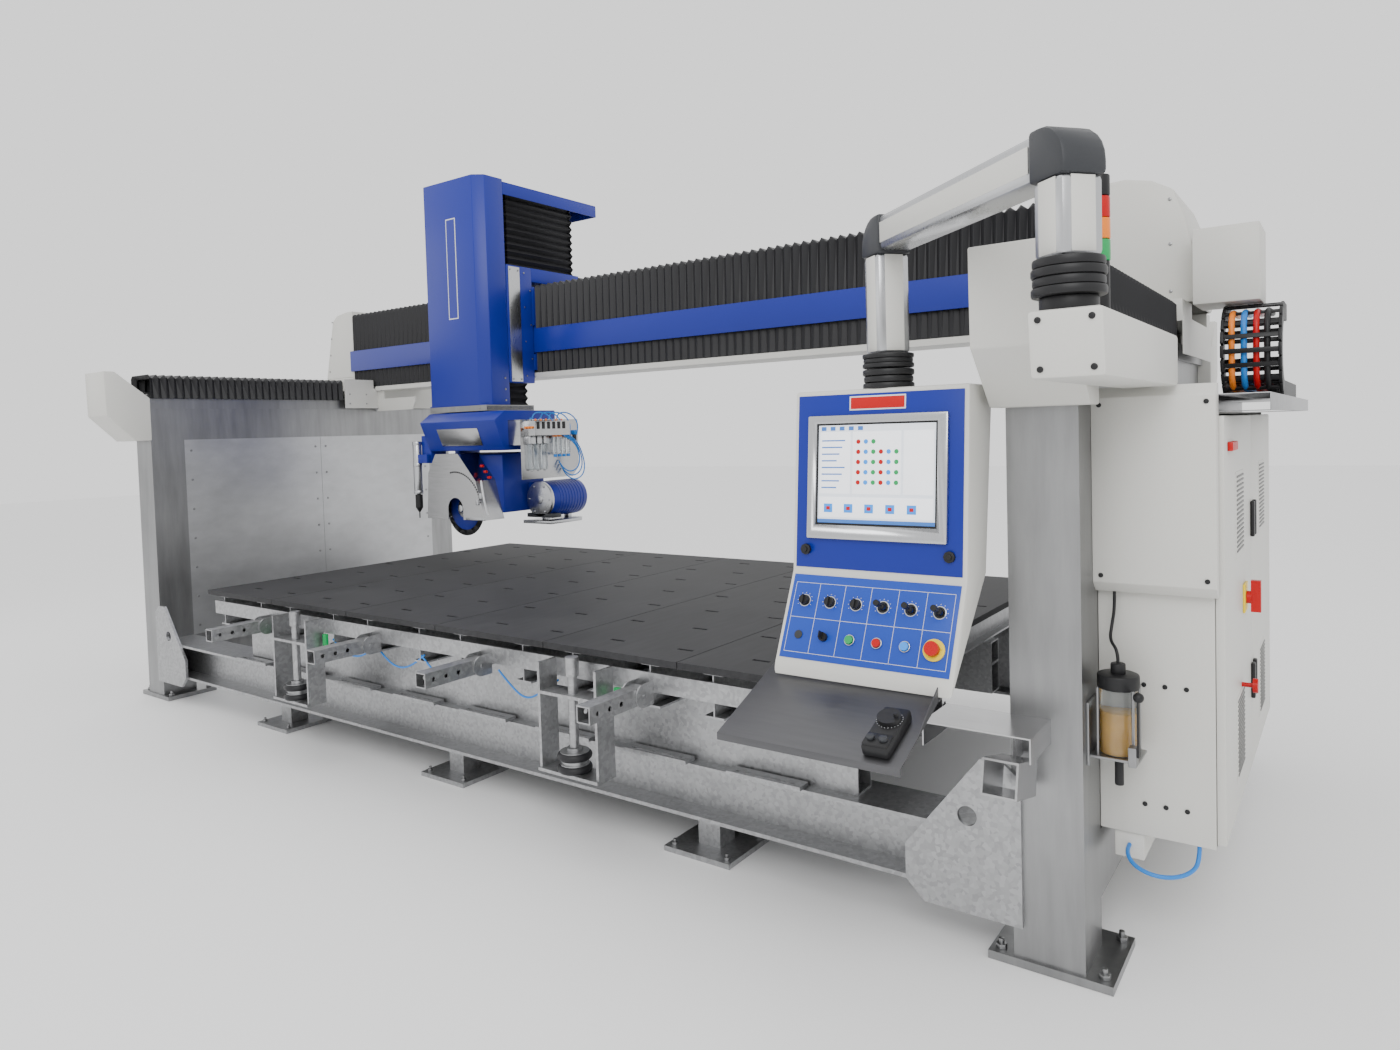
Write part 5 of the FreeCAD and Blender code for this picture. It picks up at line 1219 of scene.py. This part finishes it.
@dataclass
class Arm:
    """Suspension arm, base box and signal tower."""

    post: Pair = (2997.5, -1547.0)
    drop: Pair = (2348.0, -1010.0)

    def boom(self) -> None:
        """Profiles with inlaid strips, elbows and couplings."""
        reach = math.hypot(self.drop[0] - self.post[0], self.drop[1] - self.post[1])
        turn = math.atan2(self.drop[1] - self.post[1], self.drop[0] - self.post[0])
        place = Matrix.Translation(Vector((*self.post, 0)) * MM) @ Matrix.Rotation(turn, 4, "Z")
        profiles = [Bench.block((-50, -50, 1937), (50, 50, 2103), 12), Bench.block((reach - 50, -50, 1812),
                (reach + 50, 50, 2103), 12),
                    Bench.block((58, -50, 2108), (reach - 58, 50, 2208), 12)]
        Bench.dress(profiles, "arm_profiles", ALUMINIUM, "arm", ["boom"], place=place)
        strips = []
        for x in (0, reach):
            low = 1945 if x == 0 else 1820
            strips += [Bench.block((x - 29, s * 50 - 1, low), (x + 29, s * 50 + 1, 2100), 0.6) for s in (-1,
                    1)]
            strips += [Bench.block((x + s * 50 - 1, -29, low), (x + s * 50 + 1, 29, 2100),
                    0.6) for s in (-1, 1)]
        strips += [Bench.block((64, s * 50 - 1, 2129), (reach - 64, s * 50 + 1, 2187), 0.6) for s in (-1, 1)]
        strips.append(Bench.block((64, -29, 2207), (reach - 64, 29, 2209), 0.6))
        Bench.dress(strips, "arm_strips", CREAM, "arm", place=place)
        elbows = []
        for x, side in ((0.0, -1), (reach, 1)):
            line = [(x - side * 60, 2101), (x + side * 58, 2101)]
            line += [(x - side * 27 + side * 85 * math.cos(a), 2130 + 85 * math.sin(a))
                     for a in (math.pi / 2 * k / 6 for k in range(7))]
            line.append((x - side * 60, 2215))
            elbows.append(Bench.outline(line, "y", -54, 108, 10.0))
        rings = [Bench.rod((0, 0, 1858 + 20 * n), 76 - 3 * (n % 2), 20, round_=5, sides=48) for n in range(4)]
        rings += [Bench.rod((reach, 0, 1771 + 14 * n), 76 - 3 * (n % 2), 14, round_=4,
                sides=48) for n in range(3)]
        Bench.dress(elbows, "arm_elbows", GREY, "arm", place=place)
        Bench.dress(rings, "arm_couplings", BLACK, "arm", place=place)

    def base(self) -> None:
        """Base box with its front plate, bracket, collar and signal lamps."""
        box = Bench.outline([(-1630, 1685), (-1650, 1825), (-750, 1825), (-750, 1685)], "x", 2937.5, 150,
                10.0)
        bracket = Bench.block((2862.5, -890, 1700), (2937.5, -760, 1815), 3)
        Bench.dress([box, bracket], "arm_base_box", CREAM, "frame", ["arm_base"])
        screws = [Bench.rod((x, -1649.5 + (0 if z > 1760 else 14), z), 7, 6, "y", 12, 1) for x in (2960, 3065)
                  for z in (1705, 1805)]
        screws.append(Bench.rod((self.post[0], self.post[1], 1824), 60, 33, round_=3, sides=40))
        screws.append(Bench.rod((self.post[0], -1260, 1825), 22, 145, round_=3))
        Bench.dress(screws, "arm_base_fittings", BLACK, "frame")
        for finish, n in ((GREEN, 0), (ORANGE, 1), (RED, 2), (BLACK, 3)):
            lamp = Bench.rod((self.post[0], -1260, 1970 + 50 * n), 24, 49, round_=3, sides=32)
            Bench.dress(lamp, "signal_" + finish.name, finish, "frame")

    def build(self) -> None:
        """Make the arm."""
        self.boom()
        self.base()


@dataclass
class Cabinet:
    """Control cabinet, doors, side box, grease pump, cable tray and chain."""

    back: float = 2862.5
    front: float = 3167.5
    face: float = 3193.0

    def body(self) -> None:
        """Cabinet box, trunk and side box."""
        case = Bench.block((self.back, -710, 385), (self.front, 790, 1610), 4)
        case = Bench.hollow(case, 4, [(1, 0, 0)])
        trunk = Bench.block((2900, -700, 305), (2980, 700, 385), 3)
        box = Bench.outline([(-770, 1130), (-770, 1660), (-740, 1690), (-710, 1690), (-710, 1100), (-740,
                1100)], "x",
                            self.back, 317, 2.5)
        drives = Bench.repeat(Bench.block((self.back + 4, -630, 700), (self.back + 150, -470, 1300), 6), [
            (0, 220 * n, 0) for n in range(6)])
        Bench.dress([case, trunk, box], "cabinet_case", CREAM, "frame", ["cabinet_body"])
        Bench.dress(drives, "cabinet_drives", GREY, "frame")
        screws = Bench.repeat(Bench.rod((0, 0, 0), 7, 4, "y", 12, 1), [
            (x, -773, z) for x in (2885, 3157) for z in (1150, 1640)] + [
            (x, -713, z) for x in (2985, 3040, 3095) for z in (480, 830)])
        Bench.dress(screws, "cabinet_screws", BLACK, "frame")

    def doors(self) -> None:
        """Door leaves with louvres, latches and fittings."""
        for name, low, high, body in (("front", -708, 39, "door_front"), ("rear", 41, 788, "door_rear")):
            leaf = Bench.block((self.front + 0.5, low, 400), (self.face - 0.5, high, 1600), 4)
            Bench.dress(leaf, name + "_door_leaf", CREAM, body, [name + "_door"])
            middle = (low + high) / 2
            for label, z in (("upper", 1300), ("lower", 620)):
                vent = Bench.block((self.face - 2, middle - 110, z - 130), (self.face + 1, middle + 110,
                        z + 130), 1)
                # The slots are dark grey blocks: painted shade for the shadow inside the louvres.
                slot = Bench.block((self.face - 1, middle - 92, z - 112),
                                   (self.face + 3.5, middle + 92, z - 106), 1.2)
                slots = Bench.repeat(slot, [(0, 0, 14 * n) for n in range(17)])
                Bench.dress(vent, "%s_%s_vent" % (name, label), CREAM, body)
                Bench.dress(slots, "%s_%s_louvres" % (name, label), LOUVRE_PAINTED_SHADE, body)
            y = 10 if low < 0 else 70
            grips = [Bench.block((self.face - 0.5, y - 14, z - 60), (self.face + 12, y + 14, z + 60), 4)
                     for z in (700, 1250)]
            Bench.dress(grips, name + "_door_latches", BLACK, body)
        seat = Bench.block((self.face - 0.5, -255, 975), (self.face + 6, -165, 1065), 2)
        Bench.dress(seat, "switch_seat", YELLOW, "door_front")
        plugs = Bench.repeat(Bench.block((self.face - 0.5, -640, 1500), (self.face + 14, -614, 1526), 3), [
            (0, 34 * n, 0) for n in range(4)])
        Bench.dress(plugs, "red_terminals", RED, "door_front")

    def pump(self) -> None:
        """Grease pump with its clear reservoir."""
        x, y = self.back + 74, -810
        plate = Bench.block((self.back, y - 60, 620), (self.back + 8, y + 60, 800), 2)
        shelf = Bench.block((self.back + 8, y - 60, 645), (x + 62, y + 60, 653), 2)
        ear = Bench.block((x + 40, y - 90, 645), (x + 62, y - 58, 700), 3)
        rods = [Bench.rod((x + a, y + b, 650), 4, 195, round_=1) for a in (-46, 46) for b in (-46, 46)]
        Bench.dress([plate, shelf, ear] + rods, "pump_bracket", STEEL, "frame", ["grease_pump"])
        Bench.dress(Bench.rod((x, y, 655), 48, 120, round_=4, sides=40), "pump_oil", AMBER, "frame")
        Bench.dress(Bench.rod((x, y, 653), 50, 187, round_=4, sides=40), "pump_glass", CLEAR, "frame")
        lid = [Bench.rod((x, y, 838), 56, 42, round_=6, sides=40), Bench.rod((x, y, 878), 20, 32, round_=5),
               Bench.rod((x, y, 560), 12, 86, round_=2)]
        Bench.dress(lid, "pump_lid", BLACK, "frame")

    def chain(self) -> None:
        """Galvanised cable tray and the ladder-shaped energy chain."""
        tray = Bench.block((3042.5, -710, 1610), (3302.5, 1400, 1660), 2)
        tray = Bench.hollow(tray, 3, [(0, 0, -1), (0, 1, 0), (0, -1, 0)])
        arms = [Bench.block((self.back, y, 1600), (3122.5, y + 60, 1610), 1) for y in (850, 1250)]
        Bench.dress([tray] + arms, "cable_tray", GALVANISED, "frame")
        centre, radius, low = (574.0, 1844.5), 149.0, 1660.5
        stations: list[tuple[float, float, float]] = []
        pitch = 46.0
        stations += [(1280 - pitch * n, low + 35, math.pi) for n in range(15)]
        arc = math.pi * radius
        for n in range(round(arc / pitch)):
            a = n * pitch / radius
            stations.append((centre[0] - radius * math.sin(a), centre[1] - radius * math.cos(a), math.pi - a))
        stations += [(centre[0] + pitch * n, centre[1] + radius, 0.0) for n in range(3)]
        link = [Bench.block((x, -24, -33), (x + 12, 24, 33), 4) for x in (3063, 3250)]
        link += [Bench.block((3066, -9, z), (3256, 9, z + 5), 1.5) for z in (-30, 26)]
        links = Bench.repeat(Bench.join(link), [
            Matrix.Translation(Vector((0, y, z)) * MM) @ Matrix.Rotation(turn, 4, "X")
            for y, z, turn in stations])
        pair, foot, head = ("frame", "gantry"), (0, 0, 1.72), (0, 0, 1.97)
        Bench.stretch(Bench.join(links), "cable_chain_links", BLACK, pair, foot, head, "cable_chain")
        for finish, x in ((ORANGE, 3100), (HOSE_BLUE, 3140), (RED, 3180), (BLACK, 3215)):
            run = Bench.to_mesh(Bench.hose([(x, 1280, low + 35), (x, 900, low + 35), (x, 640, low + 35),
                                            (x, 425, 1700), (x, 415, 1844), (x, 425, 1990), (x, 600, 1993),
                                            (x, 680, 1993)], 11.0))
            Bench.stretch(run, "chain_cable_" + finish.name, finish, pair, foot, head)

    def build(self) -> None:
        """Make the cabinet side."""
        self.body()
        self.doors()
        self.pump()
        self.chain()


def main() -> None:
    """Load the frame and build the studio, cords and every sub-assembly."""
    logging.basicConfig(level=logging.INFO, format="%(message)s")
    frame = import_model()
    Studio().build()
    Cords().build()
    CarriedParts().build(frame)
    for part in (RailCovers(), FrameHardware(), Bridge(), Tower(), Head(), Console(), Arm(), Cabinet()):
        LOG.info("building %s", type(part).__name__)
        part.build()


if __name__ == "__main__":
    main()
